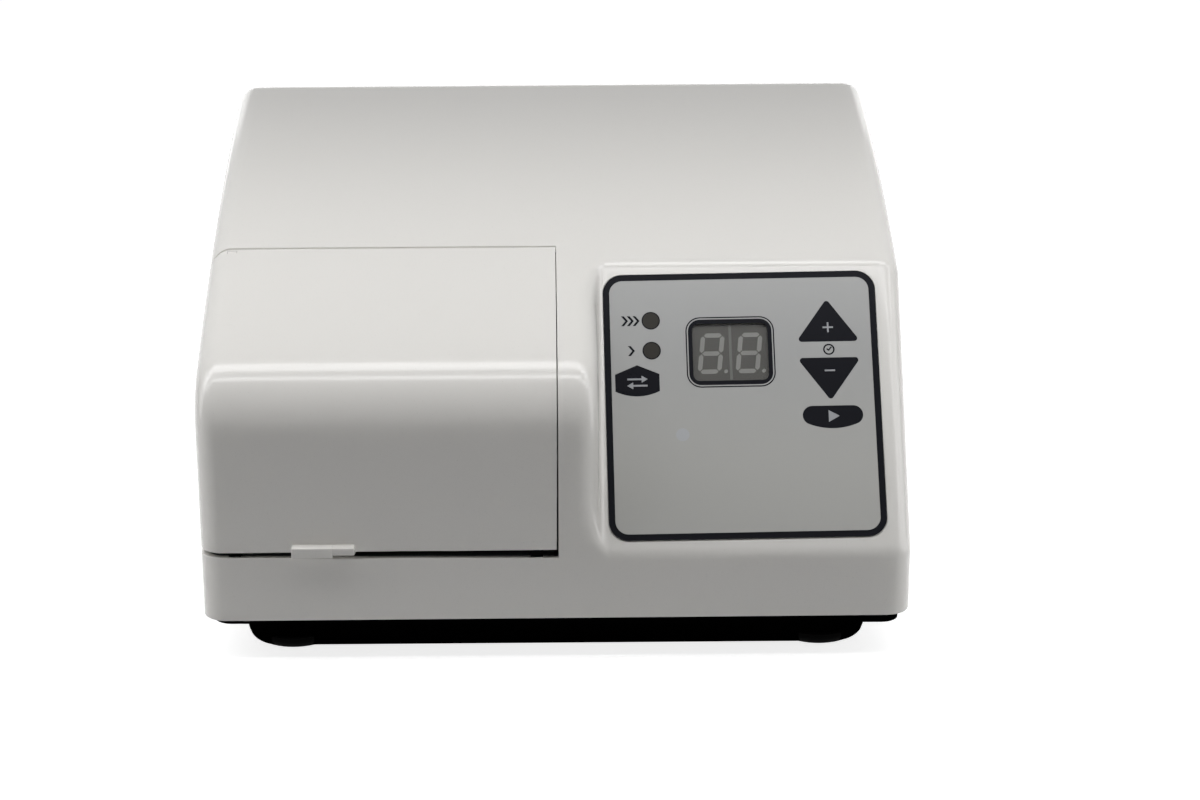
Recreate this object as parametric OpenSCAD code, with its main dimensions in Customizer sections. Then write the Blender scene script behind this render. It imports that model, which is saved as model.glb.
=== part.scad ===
/* [Body] */
// Width of the housing
body_w = 231; // [225:1:240]
// Depth of the housing at its bottom
body_d = 181; // [179:1:190]
// Wall of the housing and the lid
wall = 2.5; // [2:0.1:3]
// Radius that rounds the sides and the back
edge_r = 8; // [6:0.5:9]
// Height of the housing's bottom above the table
base_z = 14; // [12:0.5:16]
// Height where the upright front ends
bend_z = 77.5; // [75:0.5:82]
// Radius of the bend from the front to the top
bend_r = 26; // [20:1:28]
// Slope of the top just behind the bend, in degrees
top_slope = 27; // [24:1:29]
// Slope of the top at the back, in degrees
back_slope = 12; // [10:1:16]
// Length of the convex top, along the surface
top_len = 164; // [158:1:166]

/* [Console] */
// Height where the console leaves the front
console_z = 39.5; // [37:0.1:41]
// Lean of the console, in degrees from upright
console_tilt = 34.5; // [33.5:0.1:35.5]
// Place of the step between the console and the lid's side
step_x = 14; // [12:0.5:15]
// Side of the square panel
panel_side = 90.2; // [88:0.2:92]
// Panel centre from the middle of the body
panel_x = 61.8; // [60:0.1:63]
// Panel centre from the console's lower edge, along the slope
panel_up = 48.1; // [47:0.1:49]
// Corner radius of the panel
panel_r = 6.5; // [4:0.5:9]
// Thickness of the panel sheet
panel_t = 0.8; // [0.6:0.1:1]
// How far the panel stands above the console
panel_proud = 0.3; // [0.1:0.1:0.4]
// Display window, width and height
window_size = [28.9, 23.6]; // [20:0.1:32]
// Place of the display window on the panel
window_at = [-4.05, 17.9]; // [-10:0.05:30]
// One digit module, width, height and depth
digit_size = [12.6, 19, 8]; // [8:0.1:20]
// Radius of an indicator window
lamp_r = 3; // [2.5:0.1:3.2]
// Places of the two indicator lamps
lamp_at = [[-30.2, 29.1], [-30.2, 18.8]]; // [-40:0.1:40]
// Width and height of the up and down keys
arrow_size = [20, 13.9]; // [12:0.1:20]
// Lower edge of the up key and upper edge of the down key
arrow_edges = [20.8, 15.3]; // [14:0.1:22]
// Place of the arrows across the panel
arrow_x = 28.7; // [26:0.1:30]
// Width and height of the start key
start_size = [19.8, 7.7]; // [16:0.1:20]
// Place of the start key
start_at = [29.2, -5]; // [-10:0.1:30]
// Width and height of the select key
select_size = [14.9, 10.7]; // [12:0.1:15]
// Place of the select key
select_at = [-34.7, 8.6]; // [-36:0.1:12]
// Travel of a key
key_travel = 0.4; // [0.2:0.05:0.45]
// Radius of a key's stem
stem_r = 2; // [1.5:0.1:2.2]
// Height of a key switch above its board
key_switch_h = 3.5; // [3:0.1:4]
// Control board, width, height and thickness
control_board = [84, 56, 1.6]; // [1:0.2:86]
// Place of the control board on the panel
control_board_at = [-1.5, 12]; // [-4:0.5:14]

/* [Lid] */
// Gap round the lid
lid_gap = 1; // [0.8:0.1:1.4]
// Middle of the gap at the lid's right edge
lid_x = 0.5; // [-1:0.1:1]
// Height of the lid's lower edge
lid_z = 38.2; // [37:0.1:39]
// Height of the ledge below the lid
lip_z = 35.8; // [34.5:0.1:36.2]
// Place of the lid's rear edge from the front
hinge_y = 61.4; // [56:0.2:64]
// Clearance behind the lid's rounded rear edge
hinge_gap = 0.3; // [0.25:0.05:0.5]
// Radius of the hinge pins
pin_r = 0.6; // [0.5:0.05:0.7]
// Length of a hinge pin inside the lid
pin_len = 9; // [7:0.5:12]
// Width of the hinge eye at the lid's left end
eye_w = 3; // [2.5:0.5:4]
// Depth of the lid's right flange below its skin
flange_depth = 12; // [9:0.5:14]
// Pull tab, width, reach in front of the lid and height
tab_size = [20, 3.5, 3.7]; // [2:0.1:24]
// Pull tab centre from the middle of the body
tab_x = -76; // [-84:1:-60]
// Places of the two bumpers, from the middle of the body
bumper_x = [-104, -6.3]; // [-106:0.1:-4]

/* [Mixing drive] */
// Wobble hub centre across the body
hub_x = -55; // [-58:0.5:-54]
// Motor shaft from the front
axle_y = 94; // [92:0.5:100]
// Height of the motor shaft
axle_z = 72; // [70:0.5:74]
// Radius of the motor shaft
shaft_r = 2.5; // [2:0.1:3]
// Radius of the motor can
motor_r = 21; // [19:0.5:22]
// Length of the motor can
motor_len = 62; // [58:1:64]
// Wall of the motor can
can_wall = 1.5; // [1.2:0.1:2]
// Radius of the wobble hub's ball
ball_r = 10; // [9:0.5:11]
// Radial running clearance of the shaft and the arm's ring
run_gap = 0.05; // [0.03:0.01:0.08]
// Radius of the arm's ring
ring_r = 15; // [14:0.5:16]
// Width of the arm's ring
ring_w = 9; // [8:0.5:10]
// Cross-section of the arm, width and height
arm_size = [8, 6]; // [5:0.5:9]
// Swing of the arm to each side, in degrees
arm_swing = 6.5; // [4:0.5:7]
// Jaw gap of the capsule fork
jaw_gap = 30; // [28:0.5:31]
// Travel of the sprung jaw
jaw_travel = 4; // [2:0.5:5]
// Thickness of a jaw
jaw_t = 2.5; // [2:0.1:3]
// Height of a jaw
jaw_h = 16; // [14:0.5:18]
// Capsule axis from the front
capsule_y = 26; // [24:0.5:27]
// Largest capsule radius
capsule_r = 5.5; // [5:0.1:5.8]
// Radius of the fork's guide rods
rod_r = 1.2; // [1:0.1:1.4]

/* [Rear] */
// Centre of the mains inlet, across and up
inlet_at = [80, 44]; // [40:1:84]
// Mains inlet flange, width and height
inlet_flange = [50, 24]; // [22:0.5:52]
// Mains inlet body, width, height and depth
inlet_body = [28, 21, 22]; // [18:0.5:30]
// Mains inlet socket, width, height and depth
inlet_socket = [24, 16.5, 16]; // [14:0.5:24]
// Centre of the power switch, across and up
rocker_at = [34, 44]; // [30:1:60]
// Power switch opening, width and height
rocker_hole = [13, 19]; // [12:0.5:20]

/* [Base] */
// Inset of the base plate's edge from the housing
plate_inset = 3.5; // [3:0.1:4.5]
// Thickness of the base plate
plate_t = 2; // [1.6:0.1:2.5]
// Inset of the pan from the housing's sides, front and back
pan_inset = [11.5, 8, 8]; // [8:0.5:13]
// Height of the pan's underside
pan_z = 1.5; // [1:0.1:2]
// Radius of the pan's lower edge
pan_r = 6; // [4:0.5:7]
// Wall and floor of the pan
pan_wall = 2.5; // [2:0.1:3]
// Radius of a foot
foot_r = 13.5; // [11:0.5:13.5]
// Feet from the middle, and from the front and back
foot_at = [88, 23.5]; // [22:0.5:88]
// Height of a foot
foot_h = 4; // [3.4:0.1:4.5]
// Shank radius of the screws
screw_r = 1.5; // [1.2:0.1:1.6]
// Head radius of the screws
head_r = 2.8; // [2.4:0.1:3]

/* [Hidden] */
$fn = 48;
ball_fn = 32;

white = [0.9, 0.9, 0.89];
black = [0.06, 0.06, 0.065];
panel_grey = [0.8, 0.8, 0.81];
ink = [0.1, 0.1, 0.13];
smoke = [0.2, 0.2, 0.2];
steel = [0.72, 0.73, 0.75];
board_green = [0.08, 0.3, 0.17];

// the origin lies below the middle of the whole, in X and in Y
back_top_y = bend_r + (top_radius() - bend_r) * sin(top_slope) - (top_radius() - edge_r) * sin(back_slope);
back_top_z = bend_z - (top_radius() - bend_r) * cos(top_slope) + (top_radius() - edge_r) * cos(back_slope);
back_y = body_d - (body_d - edge_r - back_top_y) * base_z / back_top_z;
front_y = (tab_size[1] - back_y) / 2;

// the side outline: an upright front, a round bend and a shallow convex top
function top_radius() = top_len / ((top_slope - back_slope) * PI / 180);
top_c = [
    bend_r + (top_radius() - bend_r) * sin(top_slope),
    bend_z - (top_radius() - bend_r) * cos(top_slope)
];
top_slopes = [for (i = [0:6]) top_slope + (back_slope - top_slope) * i / 6];
function top_point(s, inset = 0) = top_c + (top_radius() - inset) * [-sin(s), cos(s)];
function slope_at(y) = asin((top_c[0] - y) / top_radius());
function top_z(y) = top_point(slope_at(y))[1];
function front_outline(inset) = concat(
    [[inset, 0]],
    [for (i = [0:8]) let (a = i * (90 - top_slope) / 8)
        [bend_r - (bend_r - inset) * cos(a), bend_z + (bend_r - inset) * sin(a)]],
    [for (i = [1:6]) top_point(top_slopes[i], inset)]
);

// the console's outline: the plane leaves the front at console_z and meets the top at its upper corner
up_slope = [sin(console_tilt), cos(console_tilt)];
foot_of_slope = [0, console_z];
reach_b = up_slope * (foot_of_slope - top_c);
reach_c = (foot_of_slope - top_c) * (foot_of_slope - top_c) - top_radius() * top_radius();
console_len = -reach_b + sqrt(reach_b * reach_b - reach_c);
console_top = foot_of_slope + console_len * up_slope;
console_top_slope = slope_at(console_top[0]);
inward_1 = [cos(console_tilt), -sin(console_tilt)];
inward_2 = [sin(console_top_slope), -cos(console_top_slope)];
back_spine = [body_d - edge_r, 0];
tall_spine = concat(front_outline(edge_r), [back_spine]);
console_spine = concat(
    [[edge_r, 0], [edge_r, console_z - edge_r * tan(console_tilt / 2)],
        console_top + edge_r * (inward_1 + inward_2) / (1 + inward_1 * inward_2)],
    [for (s = top_slopes) if (s < console_top_slope - 0.5) top_point(s, edge_r)],
    [back_spine]
);
side_x = body_w / 2 - edge_r;

// the lid turns about the middle of its own skin, which ends in a half round of radius hinge_r
hinge_r = wall / 2;
hinge_c = top_point(slope_at(hinge_y), hinge_r);
rear_y = hinge_c[0] + hinge_r + hinge_gap;
inner_x = body_w / 2 - wall;
eye_x = -side_x - eye_w / 2;
lid_edge_x = lid_x - lid_gap / 2;
bay_x = lid_x + lid_gap / 2;

// heights and places inside
big = 400;
tray_t = 2;
tray_z = lip_z - 4.2;
ledge_t = 2.5;
fit_gap = 0.3;
face_gap = 0.1;
board_n = -panel_t + panel_proud - key_switch_h - 4.7;
recess_n = panel_proud - panel_t;
key_t = panel_t - key_travel - face_gap;
motor_x = hub_x + 29;
fork_bar_y = capsule_y + capsule_r + 7.5;
fork_bar_t = 4;
rod_y = fork_bar_y - 3.5;
rod_z = 5.5;
jaw_x = [hub_x - jaw_gap / 2, hub_x + jaw_gap / 2];
lug_out_x = jaw_x[1] + jaw_t + jaw_travel + 3;
pan_floor_z = pan_z + pan_wall;
boss_h = 4;
housing_boss_at = [body_w / 2 - 7, 30, body_d - 41];
saddle_x = motor_x + motor_len - 16;
saddle_w = 12;
post_r = 4;
power_board_x = [saddle_x + saddle_w + 11, body_w / 2 - pan_inset[0] - pan_wall - 4.5];
power_board_size = [power_board_x[1] - power_board_x[0], 86, 1.6];
power_board_at = [
    (power_board_x[0] + power_board_x[1]) / 2,
    body_d - foot_at[1] - post_r - 6.5 - power_board_size[1] / 2
];
power_board_z = pan_floor_z + boss_h;
part_z = power_board_z + power_board_size[2];
mount_at = [for (x = [motor_x + 6, motor_x + 24], y = [axle_y - 19, axle_y + 19]) [x, y]];
mount_z = pan_floor_z + boss_h;
bracket_z = mount_z + 4;
rear_face_y = body_d - 3;
rear_pad = [14, 18];
vent_x = hub_x - 31;
vent_step = 8;
vent_len = 40;
arm_slot = [arm_size[0] + 4 + 2 * (axle_y - rear_y) * tan(arm_swing), arm_size[1] + 6];
interlock_at = [22, bend_z + 17];

// from the front face to the part's own origin
module seat() {
    translate([0, front_y, 0]) children();
}

// the console's own frame: X across, Y up the slope, Z out of the surface, zero at the panel's centre
module on_console() {
    translate([panel_x, panel_up * sin(console_tilt), console_z + panel_up * cos(console_tilt)])
        rotate([90 - console_tilt, 0, 0]) children();
}

// a cylinder along X
module x_rod(r, x0, x1, y, z) {
    translate([x0, y, z]) rotate([0, 90, 0]) cylinder(h = x1 - x0, r = r);
}

// a flat sheet with round corners, centred, from z0 upwards
module sheet(size, t, r, z0 = 0) {
    translate([0, 0, z0]) linear_extrude(t) {
        square([size[0] - 2 * r, size[1]], center = true);
        square([size[0], size[1] - 2 * r], center = true);
        for (x = [-1, 1], y = [-1, 1])
            translate([x * (size[0] / 2 - r), y * (size[1] / 2 - r)]) circle(r);
    }
}

module block(low, high) {
    translate(low) cube(high - low);
}

// a closed form with round edges, swept across X between two rows of balls
module round_form(spine, r, x0, x1) {
    hull()
        for (x = [x0, x1], p = spine)
            translate([x, p[0], p[1]]) sphere(r / cos(180 / ball_fn), $fn = ball_fn);
}

// the tall part and the console part, joined and set to their exact width
module body_form(inset) {
    resize([body_w - 2 * inset, 0, 0]) union() {
        round_form(tall_spine, edge_r - inset, -side_x, step_x - edge_r);
        round_form(console_spine, edge_r - inset, step_x - edge_r - 4, side_x);
    }
}

// the space that the closed lid and its hinge take out of the housing
module lid_bay() {
    block([-big, -big, lip_z], [bay_x, hinge_y + lid_gap, big]);
    block([-big, -big, hinge_c[1]], [bay_x, rear_y, big]);
    x_rod(hinge_r + hinge_gap, -big, bay_x, hinge_c[0], hinge_c[1]);
}

module chamber_walls() {
    intersection() {
        translate([bay_x, 0, 0]) rotate([90, 0, 90]) linear_extrude(wall)
            polygon(concat(front_outline(wall / 2), [[back_top_y, 0]]));
        block([bay_x - 1, 0, tray_z - ledge_t], [big, rear_y + wall, big]);
    }
    block([-inner_x - wall / 2, rear_y, tray_z - ledge_t], [bay_x + wall, rear_y + wall, top_z(rear_y) - wall / 2]);
    block([-inner_x + 12, wall - 0.1, tray_z - ledge_t], [bay_x + wall / 2, wall + 4, tray_z]);
    block([-inner_x + 12, rear_y - 4, tray_z - ledge_t], [bay_x + wall / 2, rear_y + 0.1, tray_z]);
}

module hinge_eye() {
    x_rod(hinge_r, eye_x, eye_x + eye_w, hinge_c[0], hinge_c[1]);
    block([eye_x, hinge_c[0], hinge_c[1] - hinge_r], [eye_x + eye_w, rear_y + wall / 2, hinge_c[1] + hinge_r * 0.7]);
}

module housing_bosses() {
    for (x = [-1, 1], y = [housing_boss_at[1], housing_boss_at[2]])
        translate([x * housing_boss_at[0], y, base_z]) cylinder(h = 15, r = 5);
}

module board_bosses() {
    for (x = [-1, 1], y = [-1, 1])
        translate([control_board_at[0] + x * (control_board[0] / 2 - 4),
            control_board_at[1] + y * (control_board[1] / 2 - 4), board_n])
            cylinder(h = -board_n - wall / 2, r = 3);
}

module hinge_pins(r, more = 0) {
    x_rod(r, eye_x - more, eye_x + eye_w + pin_len, hinge_c[0], hinge_c[1]);
    x_rod(r, lid_edge_x - pin_len, bay_x + wall + more, hinge_c[0], hinge_c[1]);
}

module console_cuts() {
    sheet([panel_side + 0.4, panel_side + 0.4], 5, panel_r + 0.2, recess_n);
    translate([window_at[0], window_at[1], -8])
        linear_extrude(16) square([2 * digit_size[0] + 0.4, digit_size[1] + 0.4], center = true);
    for (p = lamp_at) translate([p[0], p[1], -8]) cylinder(h = 16, r = lamp_r - 0.3);
    for (p = key_places()) translate([p[0], p[1], -8]) cylinder(h = 16, r = stem_r + 0.4);
}

function key_places() = [
    [arrow_x, arrow_edges[0] + arrow_size[1] / 3], [arrow_x, arrow_edges[1] - arrow_size[1] / 3],
    select_at, start_at
];

module rear_cuts() {
    block([inlet_at[0] - inlet_flange[0] / 2 - 1, rear_face_y, inlet_at[1] - inlet_flange[1] / 2 - 1],
        [inlet_at[0] + inlet_flange[0] / 2 + 1, big, inlet_at[1] + inlet_flange[1] / 2 + 1]);
    block([inlet_at[0] - inlet_body[0] / 2 - fit_gap, body_d - 20, inlet_at[1] - inlet_body[1] / 2 - fit_gap],
        [inlet_at[0] + inlet_body[0] / 2 + fit_gap, big, inlet_at[1] + inlet_body[1] / 2 + fit_gap]);
    for (x = [-20, 20]) translate([inlet_at[0] + x, body_d - 12, inlet_at[1]]) rotate([-90, 0, 0])
        cylinder(h = 30, r = screw_r);
    block([rocker_at[0] - rocker_hole[0] / 2 - 3, rear_face_y, rocker_at[1] - rocker_hole[1] / 2 - 3],
        [rocker_at[0] + rocker_hole[0] / 2 + 3, big, rocker_at[1] + rocker_hole[1] / 2 + 3]);
    block([rocker_at[0] - rocker_hole[0] / 2, body_d - 20, rocker_at[1] - rocker_hole[1] / 2],
        [rocker_at[0] + rocker_hole[0] / 2, big, rocker_at[1] + rocker_hole[1] / 2]);
    for (i = [0:7]) block([vent_x + vent_step * i, body_d - 20, axle_z - vent_len * 0.3],
        [vent_x + vent_step * i + 3, big, axle_z + vent_len * 0.7]);
}

module housing() {
    color(white) seat() difference() {
        union() {
            difference() {
                body_form(0);
                body_form(wall);
                lid_bay();
            }
            chamber_walls();
            hinge_eye();
            housing_bosses();
            on_console() board_bosses();
            block([rocker_at[0] - rear_pad[0], rear_face_y - wall, inlet_at[1] - rear_pad[1]],
                [inner_x + 0.5, rear_face_y + 0.5, inlet_at[1] + rear_pad[1]]);
        }
        block([-big, -big, -big], [big, big, base_z]);
        on_console() console_cuts();
        on_console() for (x = [-1, 1], y = [-1, 1])
            translate([control_board_at[0] + x * (control_board[0] / 2 - 4),
                control_board_at[1] + y * (control_board[1] / 2 - 4), board_n - 1])
                cylinder(h = 6, r = screw_r - 0.3);
        for (x = [-1, 1], y = [housing_boss_at[1], housing_boss_at[2]])
            translate([x * housing_boss_at[0], y, base_z - 1]) cylinder(h = 13, r = screw_r);
        block([hub_x - arm_slot[0] / 2, rear_y - 1, axle_z - arm_slot[1] / 2],
            [hub_x + arm_slot[0] / 2, rear_y + wall + 1, axle_z + arm_slot[1] / 2]);
        hinge_pins(pin_r, 1);
        rear_cuts();
    }
}

module lid() {
    color(white) seat() difference() {
        union() {
            difference() {
                intersection() {
                    round_form(tall_spine, edge_r, -side_x, step_x - edge_r);
                    block([-big, -big, lid_z], [lid_edge_x, hinge_y, big]);
                }
                round_form(tall_spine, edge_r - wall, -side_x, step_x - edge_r);
            }
            intersection() {
                translate([lid_edge_x - wall, 0, 0]) rotate([90, 0, 90]) linear_extrude(wall) difference() {
                    polygon(concat(front_outline(wall / 2), [[back_top_y, 0]]));
                    polygon(concat(front_outline(flange_depth), [[back_top_y, 0]]));
                }
                block([-big, -big, lid_z], [big, hinge_y, big]);
            }
            x_rod(hinge_r, eye_x, lid_edge_x, hinge_c[0], hinge_c[1]);
        }
        x_rod(hinge_r + fit_gap, eye_x - fit_gap, eye_x + eye_w + fit_gap, hinge_c[0], hinge_c[1]);
        hinge_pins(pin_r + run_gap, 1);
    }
}

// a clip on the lid's lower edge, with its right third set a little higher
module lid_tab() {
    color(white) seat() {
        z0 = lid_z - 1.4;
        third = tab_size[0] / 3;
        x0 = tab_x - tab_size[0] / 2;
        block([x0, -tab_size[1], z0], [x0 + 2 * third, 0, z0 + tab_size[2]]);
        block([x0 + 2 * third, -tab_size[1], z0 + 0.5], [x0 + 3 * third, 0, z0 + tab_size[2]]);
        block([x0, 0, z0], [x0 + 3 * third, 6, lid_z]);
    }
}

module lid_bumpers() {
    color(black) seat() for (x = bumper_x)
        block([x - 2, wall / 2, lip_z], [x + 2, wall + 3.5, lid_z - face_gap]);
}

module lid_hinge_pins() {
    color(steel) seat() hinge_pins(pin_r);
}

module lid_magnet() {
    color(steel) seat() x_rod(2.5, lid_edge_x - wall - 2.5, lid_edge_x - wall, interlock_at[0], interlock_at[1]);
}

module reed_switch() {
    color(black) seat() block([bay_x + wall, interlock_at[0] - 6, interlock_at[1] - 2],
        [bay_x + wall + 4, interlock_at[0] + 6, interlock_at[1] + 2]);
}

module chamber_tray() {
    x0 = -inner_x + fit_gap;
    x1 = bay_x - fit_gap;
    y0 = wall + fit_gap;
    y1 = rear_y - fit_gap;
    size = [x1 - x0, y1 - y0];
    color(black) seat() translate([(x0 + x1) / 2, (y0 + y1) / 2, 0]) difference() {
        sheet(size, lip_z - tray_z, 7, tray_z);
        sheet(size - [4, 4], big, 5, tray_z + tray_t);
    }
}

// key outlines, each grown by a margin
module arrow_outline(grow = 0) {
    r = 1;
    hull() for (p = [[-arrow_size[0] / 2 + r, r], [arrow_size[0] / 2 - r, r], [0, arrow_size[1] - r]])
        translate(p) circle(r + grow, $fn = 24);
}

module start_outline(grow = 0) {
    w = start_size[0] / 2;
    h = start_size[1] / 2;
    r = h * 0.68;
    hull() for (p = [[r - w, h - r], [w - r, h - r], [0.45 * w, 0.3 - h + r], [-0.45 * w, 0.3 - h + r], [0, r - h]])
        translate(p) circle(r + grow, $fn = 24);
}

module select_outline(grow = 0) {
    w = select_size[0] / 2;
    h = select_size[1] / 2;
    r = 0.8;
    hull() for (p = [[0, h - r], [w - r, h - 3.1 - r], [r - w, h - 3.1 - r], [w - r, 1.4 - h + r], [r - w, 1.4 - h + r],
        [0, r - h]])
        translate(p) circle(r + grow, $fn = 24);
}

module up_outline(grow = 0) {
    translate([arrow_x, arrow_edges[0]]) arrow_outline(grow);
}

module down_outline(grow = 0) {
    translate([arrow_x, arrow_edges[1]]) mirror([0, 1]) arrow_outline(grow);
}

module panel_overlay() {
    color(panel_grey) seat() on_console() difference() {
        sheet([panel_side, panel_side], panel_t, panel_r, recess_n);
        translate([0, 0, -2]) linear_extrude(5) {
            translate(window_at) square([window_size[0] + face_gap, window_size[1] + face_gap], center = true);
            for (p = lamp_at) translate(p) circle(lamp_r + face_gap / 2);
            up_outline(0.15);
            down_outline(0.15);
            translate(select_at) select_outline(0.15);
            translate(start_at) start_outline(0.15);
        }
    }
}

module display_window() {
    color(smoke) seat() on_console() translate([window_at[0], window_at[1], recess_n])
        linear_extrude(panel_t) square(window_size, center = true);
}

module display_digits() {
    color([0.55, 0.55, 0.53]) seat() on_console() for (x = [-1, 1])
        translate([window_at[0] + x * digit_size[0] / 2, window_at[1], board_n + digit_size[2] / 2])
            cube(digit_size - [0.1, 0, 0], center = true);
}

module lamp_windows() {
    color(smoke) seat() on_console() for (p = lamp_at)
        translate([p[0], p[1], recess_n]) cylinder(h = panel_t, r = lamp_r);
}

module lamps() {
    r = 2.5;
    color([0.45, 0.1, 0.08]) seat() on_console() for (p = lamp_at) translate([p[0], p[1], board_n])
        rotate_extrude() {
            square([r + 0.4, 1]);
            square([r, recess_n - board_n - 0.1 - r]);
            translate([0, recess_n - board_n - 0.1 - r]) intersection() {
                circle(r);
                square(r + 1);
            }
        }
}

// a printed key: its patch of the panel, and the stem that reaches the switch behind
module key_solid(place) {
    color(ink) seat() on_console() {
        translate([0, 0, panel_proud - key_t]) linear_extrude(key_t) children();
        translate([place[0], place[1], board_n + 1.6]) cylinder(h = panel_proud - board_n - 1.6 - key_t / 2, r = stem_r);
    }
}

module key_up() {
    key_solid(key_places()[0]) up_outline();
}

module key_down() {
    key_solid(key_places()[1]) down_outline();
}

module key_select() {
    key_solid(key_places()[2]) translate(select_at) select_outline();
}

module key_start() {
    key_solid(key_places()[3]) translate(start_at) start_outline();
}

module control_board() {
    color(board_green) seat() on_console() translate([control_board_at[0], control_board_at[1], 0]) difference() {
        sheet([control_board[0], control_board[1]], control_board[2], 2, board_n - control_board[2]);
        for (x = [-1, 1], y = [-1, 1])
            translate([x * (control_board[0] / 2 - 4), y * (control_board[1] / 2 - 4), board_n - 3])
                cylinder(h = 6, r = screw_r);
    }
}

module control_chips() {
    z = board_n - control_board[2];
    color([0.1, 0.1, 0.11]) seat() on_console() {
        translate([-6, 20, z - 1.2]) cube([12, 12, 2.4], center = true);
        translate([-22, 4, z - 1.6]) cube([9, 18, 3.2], center = true);
        translate([12, -2, z - 3]) cube([22, 6, 6], center = true);
    }
}

module key_switches() {
    color([0.12, 0.12, 0.12]) seat() on_console() for (p = key_places()) difference() {
        translate([p[0], p[1], board_n + key_switch_h / 2]) cube([6, 6, key_switch_h], center = true);
        translate([p[0], p[1], board_n + 1.6 - key_travel - 0.1]) cylinder(h = 10, r = stem_r + run_gap);
    }
}

module control_board_screws() {
    z = board_n - control_board[2];
    color(steel) seat() on_console() for (x = [-1, 1], y = [-1, 1])
        translate([control_board_at[0] + x * (control_board[0] / 2 - 4),
            control_board_at[1] + y * (control_board[1] / 2 - 4), z]) {
            cylinder(h = 5.5, r = screw_r - 0.3);
            translate([0, 0, -1.6]) cylinder(h = 1.6, r = head_r - 0.4);
        }
}

module buzzer() {
    color(black) seat() on_console() translate([-20.2, -10, board_n]) difference() {
        cylinder(h = key_switch_h + 1.5, r = 5.5);
        translate([0, 0, key_switch_h]) cylinder(h = 9, r = 1);
    }
}

// the motor lies along X, with its face towards the hub
module motor_can() {
    color(steel) seat() difference() {
        union() {
            x_rod(motor_r, motor_x, motor_x + motor_len, axle_y, axle_z);
            x_rod(8.75, motor_x - 4.5, motor_x, axle_y, axle_z);
        }
        x_rod(motor_r - can_wall, motor_x + 2.5, motor_x + motor_len + 1, axle_y, axle_z);
        x_rod(6.5, motor_x - 5, motor_x - 0.5, axle_y, axle_z);
        x_rod(shaft_r + 1, motor_x - 5, motor_x + 5, axle_y, axle_z);
        for (y = [-12.5, 12.5]) x_rod(screw_r, motor_x - 1, motor_x + 3, axle_y + y, axle_z);
    }
}

module motor_magnets() {
    r = motor_r - can_wall;
    color([0.25, 0.25, 0.26]) seat() difference() {
        x_rod(r, motor_x + 10, motor_x + motor_len - 12, axle_y, axle_z);
        x_rod(r - 2.6, motor_x + 9, motor_x + motor_len, axle_y, axle_z);
        for (z = [-1, 1]) block([motor_x, axle_y - r * 0.45, axle_z + z * r - r / 2],
            [motor_x + motor_len, axle_y + r * 0.45, axle_z + z * r + r / 2]);
    }
}

module motor_end_bell() {
    x = motor_x + motor_len;
    color([0.13, 0.13, 0.14]) seat() difference() {
        union() {
            x_rod(motor_r - can_wall, x - 3, x, axle_y, axle_z);
            x_rod(motor_r, x, x + 2.5, axle_y, axle_z);
            x_rod(8.75, x + 2.5, x + 6.5, axle_y, axle_z);
        }
        x_rod(6.5, x + 2.5, x + 7, axle_y, axle_z);
        x_rod(shaft_r + 1, x - 4, x + 7, axle_y, axle_z);
    }
}

module motor_bearings() {
    color(steel) seat() for (x = [motor_x - 4.5, motor_x + motor_len + 2.5]) difference() {
        x_rod(6.5, x, x + 4, axle_y, axle_z);
        x_rod(shaft_r + run_gap, x - 1, x + 5, axle_y, axle_z);
    }
}

module motor_bracket() {
    t = 2.5;
    color([0.5, 0.51, 0.53]) seat() difference() {
        union() {
            block([motor_x - t, axle_y - 25, bracket_z], [motor_x, axle_y + 25, axle_z + 25]);
            block([motor_x - t, axle_y - 25, bracket_z], [motor_x + 30, axle_y + 25, bracket_z + t]);
        }
        x_rod(8.9, motor_x - 4, motor_x + 1, axle_y, axle_z);
        for (y = [-12.5, 12.5]) x_rod(screw_r + 0.1, motor_x - 4, motor_x + 1, axle_y + y, axle_z);
        for (p = mount_at) translate([p[0], p[1], bracket_z - 1]) cylinder(h = 5, r = screw_r + 0.1);
    }
}

module motor_mounts() {
    color(black) seat() for (p = mount_at) translate([p[0], p[1], mount_z]) difference() {
        cylinder(h = 4, r = 5);
        translate([0, 0, -1]) cylinder(h = 6, r = screw_r + 0.1);
    }
}

module motor_bracket_screws() {
    color(steel) seat() for (p = mount_at) translate([p[0], p[1], bracket_z + 2.5]) {
        cylinder(h = 2, r = head_r);
        translate([0, 0, -9]) cylinder(h = 9, r = screw_r);
    }
}

module motor_face_screws() {
    color(steel) seat() for (y = [-12.5, 12.5]) {
        x_rod(screw_r, motor_x - 2.5, motor_x + 2.5, axle_y + y, axle_z);
        x_rod(head_r, motor_x - 4.5, motor_x - 2.5, axle_y + y, axle_z);
    }
}

module motor_saddle() {
    color(black) seat() difference() {
        block([saddle_x, axle_y - 14, pan_floor_z], [saddle_x + saddle_w, axle_y + 14, axle_z - motor_r + 6]);
        x_rod(motor_r + 0.2, saddle_x - 1, saddle_x + saddle_w + 1, axle_y, axle_z);
    }
}

module motor_shaft() {
    color(steel) seat() x_rod(shaft_r, hub_x - 14, motor_x + motor_len + 24, axle_y, axle_z);
}

module motor_armature() {
    r = motor_r - can_wall - 3.4;
    color([0.55, 0.35, 0.2]) seat() difference() {
        union() {
            x_rod(r, motor_x + 12, motor_x + motor_len - 16, axle_y, axle_z);
            x_rod(6, motor_x + motor_len - 16, motor_x + motor_len - 6, axle_y, axle_z);
        }
        x_rod(shaft_r, motor_x, motor_x + motor_len, axle_y, axle_z);
        for (a = [0:72:359]) translate([0, axle_y, axle_z]) rotate([a, 0, 0])
            block([motor_x + 11, -1.2, r - 6], [motor_x + motor_len - 16, 1.2, r + 1]);
    }
}

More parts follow.
